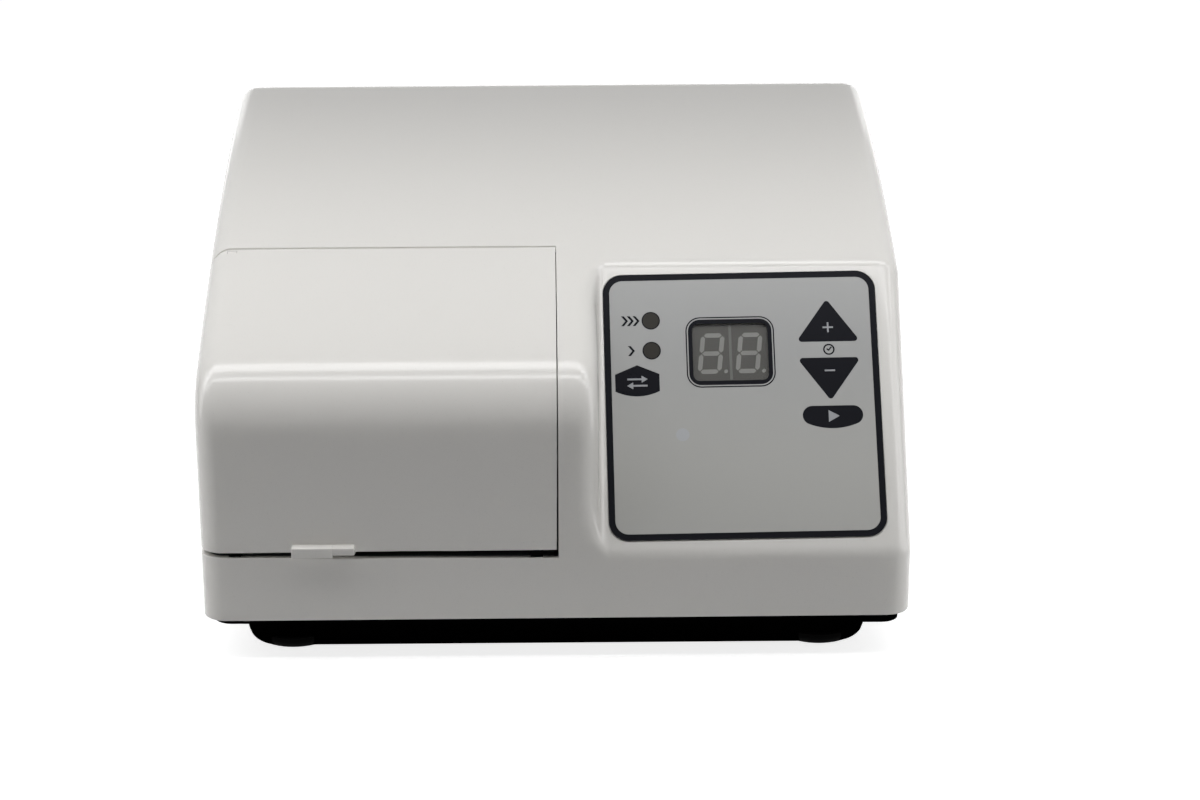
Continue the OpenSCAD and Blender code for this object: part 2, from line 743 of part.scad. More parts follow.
// a ball on the shaft that carries the arm's ring, with a clamp collar beside it
module wobble_hub() {
    color([0.78, 0.62, 0.3]) seat() translate([hub_x, axle_y, axle_z]) rotate([0, 90, 0]) rotate_extrude() difference() {
        union() {
            intersection() {
                circle(ball_r);
                translate([0, -7]) square([ball_r, 14]);
            }
            square([5.5, 14]);
        }
        translate([-1, -20]) square([shaft_r + 1, 40]);
    }
}

module hub_nut() {
    color(steel) seat() difference() {
        translate([hub_x - 11, axle_y, axle_z]) rotate([0, 90, 0]) cylinder(h = 4, r = 4.6, $fn = 6);
        x_rod(shaft_r, hub_x - 12, hub_x - 6, axle_y, axle_z);
    }
}

module cooling_fan() {
    x = motor_x + motor_len + 10;
    color([0.15, 0.15, 0.16]) seat() difference() {
        union() {
            x_rod(5.5, x, x + 10, axle_y, axle_z);
            x_rod(18, x + 8, x + 10, axle_y, axle_z);
            for (i = [0:8]) translate([x, axle_y, axle_z]) rotate([40 * i, 0, 0]) block([0, -0.7, 5], [8.5, 0.7, 17.5]);
        }
        x_rod(shaft_r, x - 1, x + 11, axle_y, axle_z);
    }
}

module mixing_arm() {
    color(steel) seat() difference() {
        union() {
            x_rod(ring_r, hub_x - ring_w / 2, hub_x + ring_w / 2, axle_y, axle_z);
            block([hub_x - arm_size[0] / 2, fork_bar_y + fork_bar_t + 1, axle_z - arm_size[1] / 2],
                [hub_x + arm_size[0] / 2, axle_y - ball_r - 3, axle_z + arm_size[1] / 2]);
            block([hub_x - 10, fork_bar_y + fork_bar_t, axle_z - 5], [hub_x + 10, fork_bar_y + fork_bar_t + 3, axle_z + 5]);
            translate([hub_x, axle_y, axle_z - ring_r - 6]) cylinder(h = 8, r = 2);
        }
        translate([hub_x, axle_y, axle_z]) sphere(ball_r + run_gap, $fn = 64);
        for (x = [-7, 7]) translate([hub_x + x, fork_bar_y - 1, axle_z]) rotate([-90, 0, 0]) cylinder(h = 10, r = screw_r);
    }
}

// a wire coil along Z: one closed tube of eight-sided rings
module coil(r, wire_r, len, turns) {
    steps = turns * 16;
    sides = 6;
    points = [for (i = [0:steps], k = [0:sides - 1]) let (a = 360 * turns * i / steps, b = 360 * k / sides)
        [(r + wire_r * cos(b)) * cos(a), (r + wire_r * cos(b)) * sin(a),
            wire_r + (len - 2 * wire_r) * i / steps + wire_r * sin(b)]];
    faces = concat(
        [[for (k = [0:sides - 1]) k]],
        [for (i = [0:steps - 1], k = [0:sides - 1]) let (a = i * sides + k, b = i * sides + (k + 1) % sides)
            [a, a + sides, b + sides]],
        [for (i = [0:steps - 1], k = [0:sides - 1]) let (a = i * sides + k, b = i * sides + (k + 1) % sides)
            [a, b + sides, b]],
        [[for (k = [sides - 1:-1:0]) steps * sides + k]]
    );
    polyhedron(points, faces);
}

module arm_spring() {
    color(steel) seat() translate([hub_x, axle_y, pan_floor_z + boss_h])
        coil(3, 0.5, axle_z - ring_r - pan_floor_z - boss_h - 0.3, 9);
}

module capsule_fork() {
    color([0.2, 0.2, 0.21]) seat() difference() {
        union() {
            block([jaw_x[0] - jaw_t, capsule_y - 6, axle_z - jaw_h / 2], [jaw_x[0], fork_bar_y + fork_bar_t, axle_z + jaw_h / 2]);
            block([jaw_x[0] - jaw_t, fork_bar_y, axle_z - 3], [lug_out_x + jaw_t, fork_bar_y + fork_bar_t, axle_z + 3]);
            block([lug_out_x, rod_y - 3, axle_z - jaw_h / 2], [lug_out_x + jaw_t, fork_bar_y + fork_bar_t, axle_z + jaw_h / 2]);
        }
        x_rod(3.5, jaw_x[0] - 5, jaw_x[0] + 1, capsule_y, axle_z);
        for (z = [-rod_z, rod_z]) x_rod(rod_r, jaw_x[0] - 5, lug_out_x + 5, rod_y, axle_z + z);
        for (x = [-7, 7]) translate([hub_x + x, fork_bar_y - 1, axle_z]) rotate([-90, 0, 0]) cylinder(h = 10, r = screw_r);
    }
}

module fork_screws() {
    color(steel) seat() for (x = [-7, 7]) translate([hub_x + x, fork_bar_y, axle_z]) rotate([-90, 0, 0]) {
        translate([0, 0, -1.4]) cylinder(h = 1.4, r = 2.4);
        cylinder(h = fork_bar_t + 3, r = screw_r);
    }
}

module fork_rods() {
    color(steel) seat() for (z = [-rod_z, rod_z])
        x_rod(rod_r, jaw_x[0] - jaw_t, lug_out_x + jaw_t, rod_y, axle_z + z);
}

module sprung_jaw() {
    color([0.2, 0.2, 0.21]) seat() difference() {
        block([jaw_x[1], capsule_y - 6, axle_z - jaw_h / 2], [jaw_x[1] + jaw_t, fork_bar_y - 0.5, axle_z + jaw_h / 2]);
        x_rod(3.5, jaw_x[1] - 1, jaw_x[1] + 5, capsule_y, axle_z);
        for (z = [-rod_z, rod_z]) x_rod(rod_r + run_gap, jaw_x[1] - 1, jaw_x[1] + 5, rod_y, axle_z + z);
    }
}

module jaw_springs() {
    x = jaw_x[1] + jaw_t;
    color(steel) seat() for (z = [-rod_z, rod_z]) translate([x, rod_y, axle_z + z]) rotate([0, 90, 0])
        coil(rod_r + 0.6, 0.35, lug_out_x - x, 5);
}

module power_board() {
    color(board_green) seat() translate([power_board_at[0], power_board_at[1], 0]) difference() {
        sheet([power_board_size[0], power_board_size[1]], power_board_size[2], 2, power_board_z);
        for (x = [-1, 1], y = [-1, 1])
            translate([x * (power_board_size[0] / 2 - 4), y * (power_board_size[1] / 2 - 4), power_board_z - 1])
                cylinder(h = 5, r = screw_r + 0.1);
    }
}

module power_board_screws() {
    color(steel) seat() for (x = [-1, 1], y = [-1, 1])
        translate([power_board_at[0] + x * (power_board_size[0] / 2 - 4),
            power_board_at[1] + y * (power_board_size[1] / 2 - 4), power_board_z + power_board_size[2]]) {
            cylinder(h = 2, r = head_r);
            translate([0, 0, -4.6]) cylinder(h = 4.6, r = screw_r);
        }
}

module transformer() {
    x = power_board_at[0];
    y = power_board_at[1] - 16;
    color([0.3, 0.3, 0.32]) seat() {
        block([x - 21, y - 9, part_z], [x + 21, y + 9, part_z + 34]);
        color([0.7, 0.55, 0.2]) block([x - 14, y - 16, part_z + 6], [x + 14, y + 16, part_z + 28]);
    }
}

module relay() {
    color([0.1, 0.25, 0.5]) seat() block([power_board_at[0] - 22, power_board_at[1] + 6, part_z],
        [power_board_at[0] - 6, power_board_at[1] + 26, part_z + 15]);
}

module capacitors() {
    color([0.12, 0.13, 0.3]) seat() for (y = [8, 21])
        translate([power_board_at[0] + 3, power_board_at[1] + y, part_z]) cylinder(h = 18, r = 5.5);
}

module fuse() {
    x = power_board_at[0] + 16;
    y = power_board_at[1] + 5;
    color([0.8, 0.8, 0.78]) seat() {
        translate([x, y, part_z + 5]) rotate([-90, 0, 0]) cylinder(h = 20, r = 2.6);
        for (dy = [2, 15]) block([x - 3.4, y + dy, part_z], [x + 3.4, y + dy + 3, part_z + 5]);
    }
}

module mains_inlet() {
    cx = inlet_at[0];
    cz = inlet_at[1];
    y0 = rear_face_y;
    color(black) seat() {
        difference() {
            union() {
                block([cx - inlet_flange[0] / 2, y0, cz - inlet_flange[1] / 2], [cx + inlet_flange[0] / 2, y0 + 2, cz + inlet_flange[1] / 2]);
                block([cx - inlet_body[0] / 2, y0 + 1 - inlet_body[2], cz - inlet_body[1] / 2], [cx + inlet_body[0] / 2, y0 + 1, cz + inlet_body[1] / 2]);
            }
            block([cx - inlet_socket[0] / 2, y0 + 2 - inlet_socket[2], cz - inlet_socket[1] / 2],
                [cx + inlet_socket[0] / 2, big, cz + inlet_socket[1] / 2]);
            for (x = [-20, 20]) translate([cx + x, y0 - 1, cz]) rotate([-90, 0, 0]) cylinder(h = 9, r = screw_r + 0.1);
        }
        for (p = [[-7, -1], [0, 3], [7, -1]])
            block([cx + p[0] - 1, y0 + 1.5 - inlet_socket[2], cz + p[1] - 2], [cx + p[0] + 1, y0 - 2, cz + p[1] + 2]);
    }
}

module inlet_screws() {
    color(steel) seat() for (x = [-20, 20]) translate([inlet_at[0] + x, rear_face_y, inlet_at[1]]) rotate([-90, 0, 0]) {
        translate([0, 0, -4]) cylinder(h = 6, r = screw_r);
        translate([0, 0, 2]) cylinder(h = 0.8, r = head_r);
    }
}

// the switch's frame snaps into the rear wall, and its rocker turns about X
module power_switch_frame() {
    cx = rocker_at[0];
    cz = rocker_at[1];
    w = rocker_hole[0] / 2;
    h = rocker_hole[1] / 2;
    color(black) seat() difference() {
        union() {
            block([cx - w - 2, rear_face_y, cz - h - 2], [cx + w + 2, rear_face_y + 1.2, cz + h + 2]);
            block([cx - w, rear_face_y - 14, cz - h], [cx + w, rear_face_y + 1, cz + h]);
        }
        block([cx - w + 1.5, rear_face_y - 7, cz - h + 1.5], [cx + w - 1.5, big, cz + h - 1.5]);
        x_rod(1, cx - w + 0.5, cx + w - 0.5, rear_face_y - 3, cz);
    }
}

module power_rocker() {
    cx = rocker_at[0];
    cz = rocker_at[1];
    w = rocker_hole[0] / 2 - 1.7;
    h = rocker_hole[1] / 2 - 1.9;
    y = rear_face_y - 3;
    color(black) seat() difference() {
        union() {
            translate([cx - w, y, cz]) rotate([90, 0, 90]) linear_extrude(2 * w)
                polygon([[-2.2, -1.5], [-2.2, 1.5], [1.4, h * 0.8], [4.2, h * 0.9], [3, 0], [1.4, -h * 0.9], [-0.6, -h * 0.8]]);
            x_rod(0.95, cx - w - 0.8, cx + w + 0.8, y, cz);
        }
    }
}

module pan_tray() {
    x = body_w / 2 - pan_inset[0] - pan_r;
    y0 = pan_inset[1] + pan_r;
    y1 = body_d - pan_inset[2] - pan_r;
    hull() for (sx = [-x, x], y = [y0, y1]) {
        translate([sx, y, pan_z + pan_r]) sphere(pan_r / cos(180 / ball_fn), $fn = ball_fn);
        translate([sx, y, pan_z + pan_r]) cylinder(h = base_z - plate_t - pan_z - pan_r + 0.1, r = pan_r, $fn = ball_fn);
    }
}

module base_pan() {
    pan_w = body_w - 2 * pan_inset[0];
    pan_d = body_d - pan_inset[1] - pan_inset[2];
    pan_cy = (body_d + pan_inset[1] - pan_inset[2]) / 2;
    color(black) seat() difference() {
        union() {
            difference() {
                union() {
                    pan_tray();
                    translate([0, back_y / 2, 0]) sheet([body_w - 2 * plate_inset, back_y - 2 * plate_inset], plate_t, 6, base_z - plate_t);
                }
                translate([0, pan_cy, 0]) sheet([pan_w - 2 * pan_wall, pan_d - 2 * pan_wall], big, pan_r - pan_wall + 0.5, pan_floor_z);
            }
            for (p = foot_places()) translate([p[0], p[1], pan_floor_z]) {
                cylinder(h = pan_wall, r = foot_r + 1.6);
                cylinder(h = 7, r = post_r);
            }
            for (p = mount_at) translate([p[0], p[1], pan_floor_z - 0.5]) cylinder(h = boss_h + 0.5, r = 3.8);
            for (x = [-1, 1], y = [-1, 1])
                translate([power_board_at[0] + x * (power_board_size[0] / 2 - 4),
                    power_board_at[1] + y * (power_board_size[1] / 2 - 4), pan_floor_z - 0.5]) cylinder(h = boss_h + 0.5, r = 3.2);
            translate([hub_x, axle_y, pan_floor_z - 0.5]) cylinder(h = boss_h + 0.5, r = 4.5);
            translate([hub_x, axle_y, pan_floor_z]) cylinder(h = boss_h + 6, r = 2);
        }
        for (p = foot_places()) translate([p[0], p[1], 0]) {
            translate([0, 0, -1]) cylinder(h = foot_h + 1, r = foot_r + 0.2);
            cylinder(h = 10, r = screw_r);
        }
        for (p = mount_at) translate([p[0], p[1], mount_z - 3]) cylinder(h = 5, r = screw_r);
        for (x = [-1, 1], y = [-1, 1])
            translate([power_board_at[0] + x * (power_board_size[0] / 2 - 4),
                power_board_at[1] + y * (power_board_size[1] / 2 - 4), power_board_z - 3]) cylinder(h = 5, r = screw_r);
        for (x = [-1, 1], y = [housing_boss_at[1], housing_boss_at[2]])
            translate([x * housing_boss_at[0], y, 0]) cylinder(h = 20, r = screw_r + 0.2);
    }
}

function foot_places() = [for (x = [-1, 1], y = [foot_at[1], body_d - foot_at[1]]) [x * foot_at[0], y]];

module base_pan_screws() {
    color(steel) seat() for (x = [-1, 1], y = [housing_boss_at[1], housing_boss_at[2]])
        translate([x * housing_boss_at[0], y, base_z - plate_t]) {
            translate([0, 0, -2]) cylinder(h = 2, r = head_r);
            cylinder(h = 13, r = screw_r);
        }
}

module feet() {
    edge = 2.6;
    color([0.09, 0.09, 0.09]) seat() for (p = foot_places()) translate([p[0], p[1], 0]) difference() {
        rotate_extrude() {
            translate([0, edge]) square([foot_r, foot_h - edge]);
            square([foot_r - edge, foot_h]);
            intersection() {
                translate([foot_r - edge, edge]) circle(edge);
                square([foot_r, edge + 0.1]);
            }
        }
        translate([0, 0, -1]) cylinder(h = 3, r = 4.2);
        cylinder(h = 9, r = screw_r + 0.1);
    }
}

module foot_screws() {
    color(steel) seat() for (p = foot_places()) translate([p[0], p[1], 0.6]) {
        cylinder(h = 1.4, r = 3.2);
        cylinder(h = 9, r = screw_r);
    }
}

housing();
lid();
lid_tab();
lid_bumpers();
lid_hinge_pins();
lid_magnet();
reed_switch();
chamber_tray();
panel_overlay();
display_window();
display_digits();
lamp_windows();
lamps();
key_up();
key_down();
key_select();
key_start();
control_board();
control_chips();
key_switches();
control_board_screws();
buzzer();
motor_can();
motor_magnets();
motor_end_bell();
motor_bearings();
motor_bracket();
motor_mounts();
motor_bracket_screws();
motor_face_screws();
motor_saddle();
motor_shaft();
motor_armature();
wobble_hub();
hub_nut();
cooling_fan();
mixing_arm();
arm_spring();
capsule_fork();
fork_screws();
fork_rods();
sprung_jaw();
jaw_springs();
power_board();
power_board_screws();
transformer();
relay();
capacitors();
fuse();
mains_inlet();
inlet_screws();
power_switch_frame();
power_rocker();
base_pan();
base_pan_screws();
feet();
foot_screws();
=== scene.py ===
"""The bench-top capsule mixer, dressed for its photograph: camera and studio first, then what shows
from outside, and last what it holds inside. Lengths are in metres, and MM is one millimetre."""
import math

import bmesh
import bpy
from mathutils import Matrix, Vector


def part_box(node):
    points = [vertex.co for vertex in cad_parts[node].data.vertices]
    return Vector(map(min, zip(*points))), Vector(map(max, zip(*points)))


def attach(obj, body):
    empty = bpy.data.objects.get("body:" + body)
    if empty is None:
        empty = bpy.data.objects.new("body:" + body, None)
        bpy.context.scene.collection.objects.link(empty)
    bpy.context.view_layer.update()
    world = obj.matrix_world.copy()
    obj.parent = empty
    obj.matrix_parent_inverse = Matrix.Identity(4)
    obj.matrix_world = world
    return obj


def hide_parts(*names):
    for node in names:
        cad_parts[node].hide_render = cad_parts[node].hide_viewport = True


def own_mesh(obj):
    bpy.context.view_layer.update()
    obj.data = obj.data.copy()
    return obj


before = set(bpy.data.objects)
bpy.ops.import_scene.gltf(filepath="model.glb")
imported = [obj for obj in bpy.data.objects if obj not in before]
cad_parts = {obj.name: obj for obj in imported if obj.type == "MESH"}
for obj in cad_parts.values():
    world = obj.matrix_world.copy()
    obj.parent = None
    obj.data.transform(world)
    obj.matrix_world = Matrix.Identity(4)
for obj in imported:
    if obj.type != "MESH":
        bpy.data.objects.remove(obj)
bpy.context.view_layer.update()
MM = 0.001

# Camera
# A long lens stands in front of the machine, a little above it, and looks down on the lid.
# The picture was cropped off its axis, so the lens is shifted by a twentieth of the width.
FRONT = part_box("housing")[0][1]
lens_mm = 80.1
eye = Vector((-4.86, -801.86, 358.9)) * MM + Vector((0, FRONT, 0))
pitch = math.radians(18.55)
roll = math.radians(0.43)
forward = Vector((0, math.cos(pitch), -math.sin(pitch)))
right = Vector((1, 0, 0))
up = right.cross(forward)
turned = (right * math.cos(roll) - up * math.sin(roll), right * math.sin(roll) + up * math.cos(roll))
camera_data = bpy.data.cameras.new("camera")
camera_data.lens = lens_mm
camera_data.sensor_width = 36
camera_data.sensor_fit = "HORIZONTAL"
camera_data.shift_x = 0.05
camera_data.clip_start = 0.01
camera = bpy.data.objects.new("camera", camera_data)
bpy.context.scene.collection.objects.link(camera)
camera.matrix_world = Matrix.LocRotScale(
    eye, Matrix((turned[0], turned[1], -forward)).transposed().to_quaternion(), None)
bpy.context.scene.camera = camera


# Studio
# A white sweep under two long tubes, which light the bend, with boxes on the right, on the left and at
# the rear. The camera sees the sweep and the air as plain white, and the machine's shadow stays.
class Sock:
    """A shader socket that adds Math nodes when it is used in an expression."""

    def __init__(self, tree, link):
        self.tree = tree
        self.link = link

    def _math(self, operation, *values):
        return self.tree.node("ShaderNodeMath", {"operation": operation}, *values)

    def __add__(self, other):
        return self._math("ADD", self, other)

    def __mul__(self, other):
        return self._math("MULTIPLY", self, other)

    def __lt__(self, other):
        return self._math("LESS_THAN", self, other)

    def __gt__(self, other):
        return self._math("GREATER_THAN", self, other)

    __radd__ = __add__
    __rmul__ = __mul__


class Tree:
    """A node tree that is filled by plain calls."""

    def __init__(self, tree):
        self.tree = tree

    def node(self, kind, settings=None, *values, out=0, **named):
        made = self.tree.nodes.new(kind)
        for key, value in (settings or {}).items():
            setattr(made, key, value)
        for key, value in [*enumerate(values), *named.items()]:
            socket = made.inputs[key.replace("_", " ") if isinstance(key, str) else key]
            if isinstance(value, Sock):
                self.tree.links.new(value.link, socket)
            else:
                socket.default_value = value
        return Sock(self, made.outputs[out])

    def mix(self, amount, first, second):
        made = self.tree.nodes.new("ShaderNodeMix")
        made.data_type = "RGBA"
        for socket, value in ((made.inputs[0], amount), (made.inputs[6], first), (made.inputs[7], second)):
            if isinstance(value, Sock):
                self.tree.links.new(value.link, socket)
            else:
                socket.default_value = value if socket is made.inputs[0] else (*value, 1)
        return Sock(self, made.outputs[2])

    def place(self):
        return self.node("ShaderNodeTexCoord", out="Object")

    def noise(self, scale, detail=2.0, roughness=0.5, where=None):
        return self.node("ShaderNodeTexNoise", None, Vector=where or self.place(), Scale=scale,
                         Detail=detail, Roughness=roughness, out="Fac")

    def bump(self, height, strength, distance):
        return self.node("ShaderNodeBump", None, Strength=strength, Distance=distance, Height=height)


def new_material(name):
    material = bpy.data.materials.new(name)
    material.use_nodes = True
    material.node_tree.nodes.clear()
    return material, Tree(material.node_tree)


def finish_surface(tree, shader):
    output = tree.tree.nodes.new("ShaderNodeOutputMaterial")
    tree.tree.links.new(shader.link, output.inputs["Surface"])


def surfaced(material, tree, **looks):
    """Ends a material's tree with one plain shader that has the given looks."""
    finish_surface(tree, tree.node("ShaderNodeBsdfPrincipled", None, **looks))
    return material


def seen_plainly(tree):
    """One for the rays of the camera, of gloss and of glass, which see the studio as plain white."""
    path = tree.tree.nodes.new("ShaderNodeLightPath")
    rays = [Sock(tree, path.outputs[f"Is {ray} Ray"]) for ray in ("Camera", "Glossy", "Transmission")]
    return rays[0] + rays[1] + rays[2]


def backdrop_material():
    """White to the camera, to gloss and to glass, a plain pale floor to all other rays. Close to the
    machine it glows less, so that the shadow shows."""
    material, tree = new_material("white_sweep")
    plain = tree.node("ShaderNodeBsdfDiffuse", None, Color=(0.72, 0.72, 0.72, 1))
    away = tree.node("ShaderNodeVectorMath", {"operation": "LENGTH"}, tree.place(), out="Value")
    rise = tree.node("ShaderNodeMapRange", {"interpolation_type": "SMOOTHSTEP"}, Value=away,
                     From_Min=0.16, From_Max=0.5)
    shade = tree.mix(rise, (0.82, 0.82, 0.82), (1.0, 1.0, 1.0))
    glow = tree.node("ShaderNodeEmission", None, Color=shade, Strength=1.0)
    lit = tree.node("ShaderNodeAddShader", None, plain, glow)
    finish_surface(tree, tree.node("ShaderNodeMixShader", None, seen_plainly(tree), plain, lit))
    return material


def link(obj):
    bpy.context.scene.collection.objects.link(obj)
    return obj


def mesh_object(name, verts, faces, material=None):
    mesh = bpy.data.meshes.new(name)
    mesh.from_pydata([tuple(v) for v in verts], [], faces)
    mesh.update()
    obj = link(bpy.data.objects.new(name, mesh))
    if material:
        mesh.materials.append(material)
    return obj


def sweep(name, material):
    """The floor, which turns up into a wall far behind the machine."""
    wide, near, far, bend = 6.0, -3.0, 2.4, 1.0
    turn = [math.radians(9 * i) for i in range(1, 11)]
    rows = [(near, 0.0), (far - bend, 0.0)]
    rows += [(far - bend + bend * math.sin(a), bend - bend * math.cos(a)) for a in turn] + [(far, 5.0)]
    verts = [(x, y, z) for y, z in rows for x in (-wide, wide)]
    faces = [(2 * i, 2 * i + 1, 2 * i + 3, 2 * i + 2) for i in range(len(rows) - 1)]
    obj = mesh_object(name, verts, faces, material)
    for face in obj.data.polygons:
        face.use_smooth = True
    return obj


def softbox(name, place, target, size, power):
    data = bpy.data.lights.new(name, "AREA")
    data.shape = "RECTANGLE"
    data.size, data.size_y = size
    data.energy = power
    lamp = link(bpy.data.objects.new(name, data))
    lamp.location = place
    lamp.rotation_euler = (Vector(target) - Vector(place)).to_track_quat("-Z", "Y").to_euler()


sweep("floor_sweep", backdrop_material())
softbox("back_tube", (0.0, -0.09, 0.34), (0, -0.09, 0.1), (1.4, 0.06), 1.27)
softbox("front_tube", (0.0, -0.155, 0.28), (0, -0.12, 0.1), (1.4, 0.02), 0.5)
softbox("right_box", (0.47, -0.07, 0.10), (0.05, -0.02, 0.09), (0.25, 0.25), 0.32)
softbox("left_box", (-0.4, -0.06, 0.2), (-0.1, -0.06, 0.1), (0.1, 0.3), 0.18)
softbox("rear_box", (0.0, 0.75, 0.25), (0, 0.1, 0.08), (1.0, 0.4), 1.3)
world = bpy.data.worlds.new("studio_air")
bpy.context.scene.world = world
world.use_nodes = True
world.node_tree.nodes.clear()
air = Tree(world.node_tree)
air_shader = air.node("ShaderNodeBackground", None, Color=(1, 1, 1, 1),
                      Strength=seen_plainly(air) * 0.98 + 0.02)
world.node_tree.links.new(air_shader.link,
                          world.node_tree.nodes.new("ShaderNodeOutputWorld").inputs["Surface"])
bpy.context.scene.view_settings.view_transform = "Standard"


# Housing
# One glossy white moulding: an upright front that bends into a shallow convex top, rolled over at
# both sides, with the sloping console let into its right half. Its wall is 2.5 mm all over, and the
# chamber walls, the hinge eye and the console's cuts belong to it.
edge_r = 8 * MM
wall = 2.5 * MM
base_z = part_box("housing")[0][2]
half_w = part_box("housing")[1][0]
side_x = half_w - edge_r
bend_r = 26 * MM
bend_z = 77.5 * MM
top_len = 164 * MM
top_angles = (63.0, 78.0)
body_d = 181 * MM
console_z = 37.0 * MM
console_tilt = 33.7
step_x = 14 * MM
step_fillet = 3.5 * MM
lip_z = 35.8 * MM
lip_slope = -0.45
bay_x = 0.8 * MM
bay_side_y = 62.4 * MM
bay_top_y = 63.42 * MM
bay_notch_z = 116.0 * MM
hinge = (61.8733 * MM, 121.145 * MM)
top_r = top_len / math.radians(top_angles[1] - top_angles[0])


def normal_at(angle):
    """Outward normal of the outline, as (y, z): 0 faces the front, 90 faces up, 180 faces the rear."""
    a = math.radians(angle)
    return Vector((-math.cos(a), math.sin(a)))


bend_c = Vector((bend_r, bend_z))
top_c = bend_c - (top_r - bend_r) * normal_at(top_angles[0])
back_spine = top_c + (top_r - edge_r) * normal_at(top_angles[1])
back_foot = Vector((body_d - edge_r, 0))
back_run = (back_foot - back_spine).normalized()
back_angle = 180 - math.degrees(math.atan2(back_run.x, -back_run.y))


class Outline:
    """A side outline made of arcs and straight runs, each at edge_r outside its own spine."""

    def __init__(self):
        self.parts = []

    def run(self, start, end, angle):
        start, end = Vector(start), Vector(end)
        self.parts.append(((end - start).length, lambda f: (start.lerp(end, f), angle)))

    def arc(self, centre, spine_r, first, last):
        length = (spine_r + edge_r) * math.radians(abs(last - first))
        turn = lambda f: first + (last - first) * f
        self.parts.append((length, lambda f: (centre + spine_r * normal_at(turn(f)), turn(f))))

    def length(self):
        return sum(length for length, _ in self.parts)

    def at(self, distance):
        for length, place in self.parts:
            if distance <= length or place is self.parts[-1][1]:
                return place(min(max(distance / length, 0), 1))
            distance -= length


knee_z = console_z - edge_r * math.tan(math.radians(console_tilt / 2))
knee = Vector((edge_r, knee_z))
slope_way = Vector((math.sin(math.radians(console_tilt)), math.cos(math.radians(console_tilt))))
slope_foot = Vector((0, console_z))
reach = slope_way.dot(slope_foot - top_c)
console_len = -reach + math.sqrt(reach ** 2 - (slope_foot - top_c).length_squared + top_r ** 2)
console_head = slope_foot + console_len * slope_way
head_angle = math.degrees(math.asin((console_head - top_c).y / top_r))
inward = [-normal_at(console_tilt), -normal_at(head_angle)]
brow = console_head + edge_r * (inward[0] + inward[1]) / (1 + inward[0].dot(inward[1]))
brow_angle = math.degrees(math.asin((brow - top_c).y / (brow - top_c).length))

# the stretch where the tall side and the console side differ, and the stretches that they share
tall_middle = Outline()
tall_middle.run(knee, (edge_r, bend_z), 0)
tall_middle.arc(bend_c, bend_r - edge_r, 0, top_angles[0])
tall_middle.arc(top_c, top_r - edge_r, top_angles[0], brow_angle)
console_middle = Outline()
console_middle.arc(knee, 0, 0, console_tilt)
console_middle.run(knee, brow, console_tilt)
console_middle.arc(brow, 0, console_tilt, brow_angle)


def middle_steps():
    """Fractions along the middle stretch, close together at its ends and round the bend."""
    total = tall_middle.length()
    bend_from = bend_z - knee_z
    bend_to = bend_from + bend_r * math.radians(top_angles[0])
    marks = [0.8 * MM * i for i in range(9)] + [total - 0.8 * MM * i for i in range(9)]
    marks += [bend_from + (bend_to - bend_from) * i / 22 for i in range(23)]
    marks += [9 * MM + (bend_from - 11 * MM) * i / 6 for i in range(7)]
    marks += [bend_to + (total - 9 * MM - bend_to) * i / 9 for i in range(1, 10)]
    return [m / total for m in sorted(marks)]


def rows_of(exact_y):
    """Rows from the front foot to the back, one at exact_y: a (spine point, angle) for each side."""
    low = [base_z + (knee_z - base_z) * i / 8 for i in range(8)]
    rows = [((Vector((edge_r, z)), 0.0),) * 2 for z in low]
    rows += [(tall_middle.at(f * tall_middle.length()), console_middle.at(f * console_middle.length()))
             for f in middle_steps()]
    angles = [brow_angle + (top_angles[1] - brow_angle) * i / 27 for i in range(1, 28)]
    exact = math.degrees(math.acos((top_c.x - exact_y) / top_r))
    angles = sorted([a for a in angles if abs(a - exact) > 0.08] + [exact])
    rows += [((top_c + (top_r - edge_r) * normal_at(a), a),) * 2 for a in angles]
    turns = [top_angles[1] + (back_angle - top_angles[1]) * i / 14 for i in range(1, 15)]
    rows += [((back_spine, a),) * 2 for a in turns]
    drop = (back_spine.y + edge_r * normal_at(back_angle).y - base_z) / -back_run.y
    rows += [((back_spine + back_run * drop * i / 12, back_angle),) * 2 for i in range(1, 13)]
    return rows


def surface_point(row, x, depth):
    """Where a row of the outline lies at x, with its edge rolled inwards by depth."""
    spine, angle = row
    place = spine + (edge_r - depth) * normal_at(angle)
    return Vector((x, place.x + FRONT, place.y))


step_columns = 22


def step_curve(height):
    """The step from the tall side down to the console, as (x, share of the height): a rolled edge, an upright
    wall and a fillet whose foot stays in line, spread evenly over its length."""
    start, end = step_x - edge_r, step_x + 5 * MM
    radii = edge_r + step_fillet
    full = math.acos(max(0, 1 - height / radii)) if height < radii else math.pi / 2
    lead = radii * (1 - math.sin(full))
    points = [(0.0, 0.0)]
    points += [(lead + edge_r * math.sin(full * i / 16), edge_r * (1 - math.cos(full * i / 16)))
               for i in range(17)]
    foot = (radii, height)
    points += [(foot[0] - step_fillet * math.sin(full * i / 12),
                foot[1] - step_fillet * (1 - math.cos(full * i / 12)))
               for i in range(12, -1, -1)]
    points.append((end - start, height))
    lengths = [0.0]
    for a, b in zip(points, points[1:]):
        lengths.append(lengths[-1] + math.dist(a, b))
    made = []
    for i in range(step_columns + 1):
        want = lengths[-1] * i / step_columns
        k = max(j for j in range(len(lengths) - 1) if lengths[j] <= want)
        f = (want - lengths[k]) / max(lengths[k + 1] - lengths[k], 1e-12)
        x = points[k][0] + f * (points[k + 1][0] - points[k][0])
        z = points[k][1] + f * (points[k + 1][1] - points[k][1])
        made.append((start + x, z / height if height > 1e-9 else 0.0))
    return made


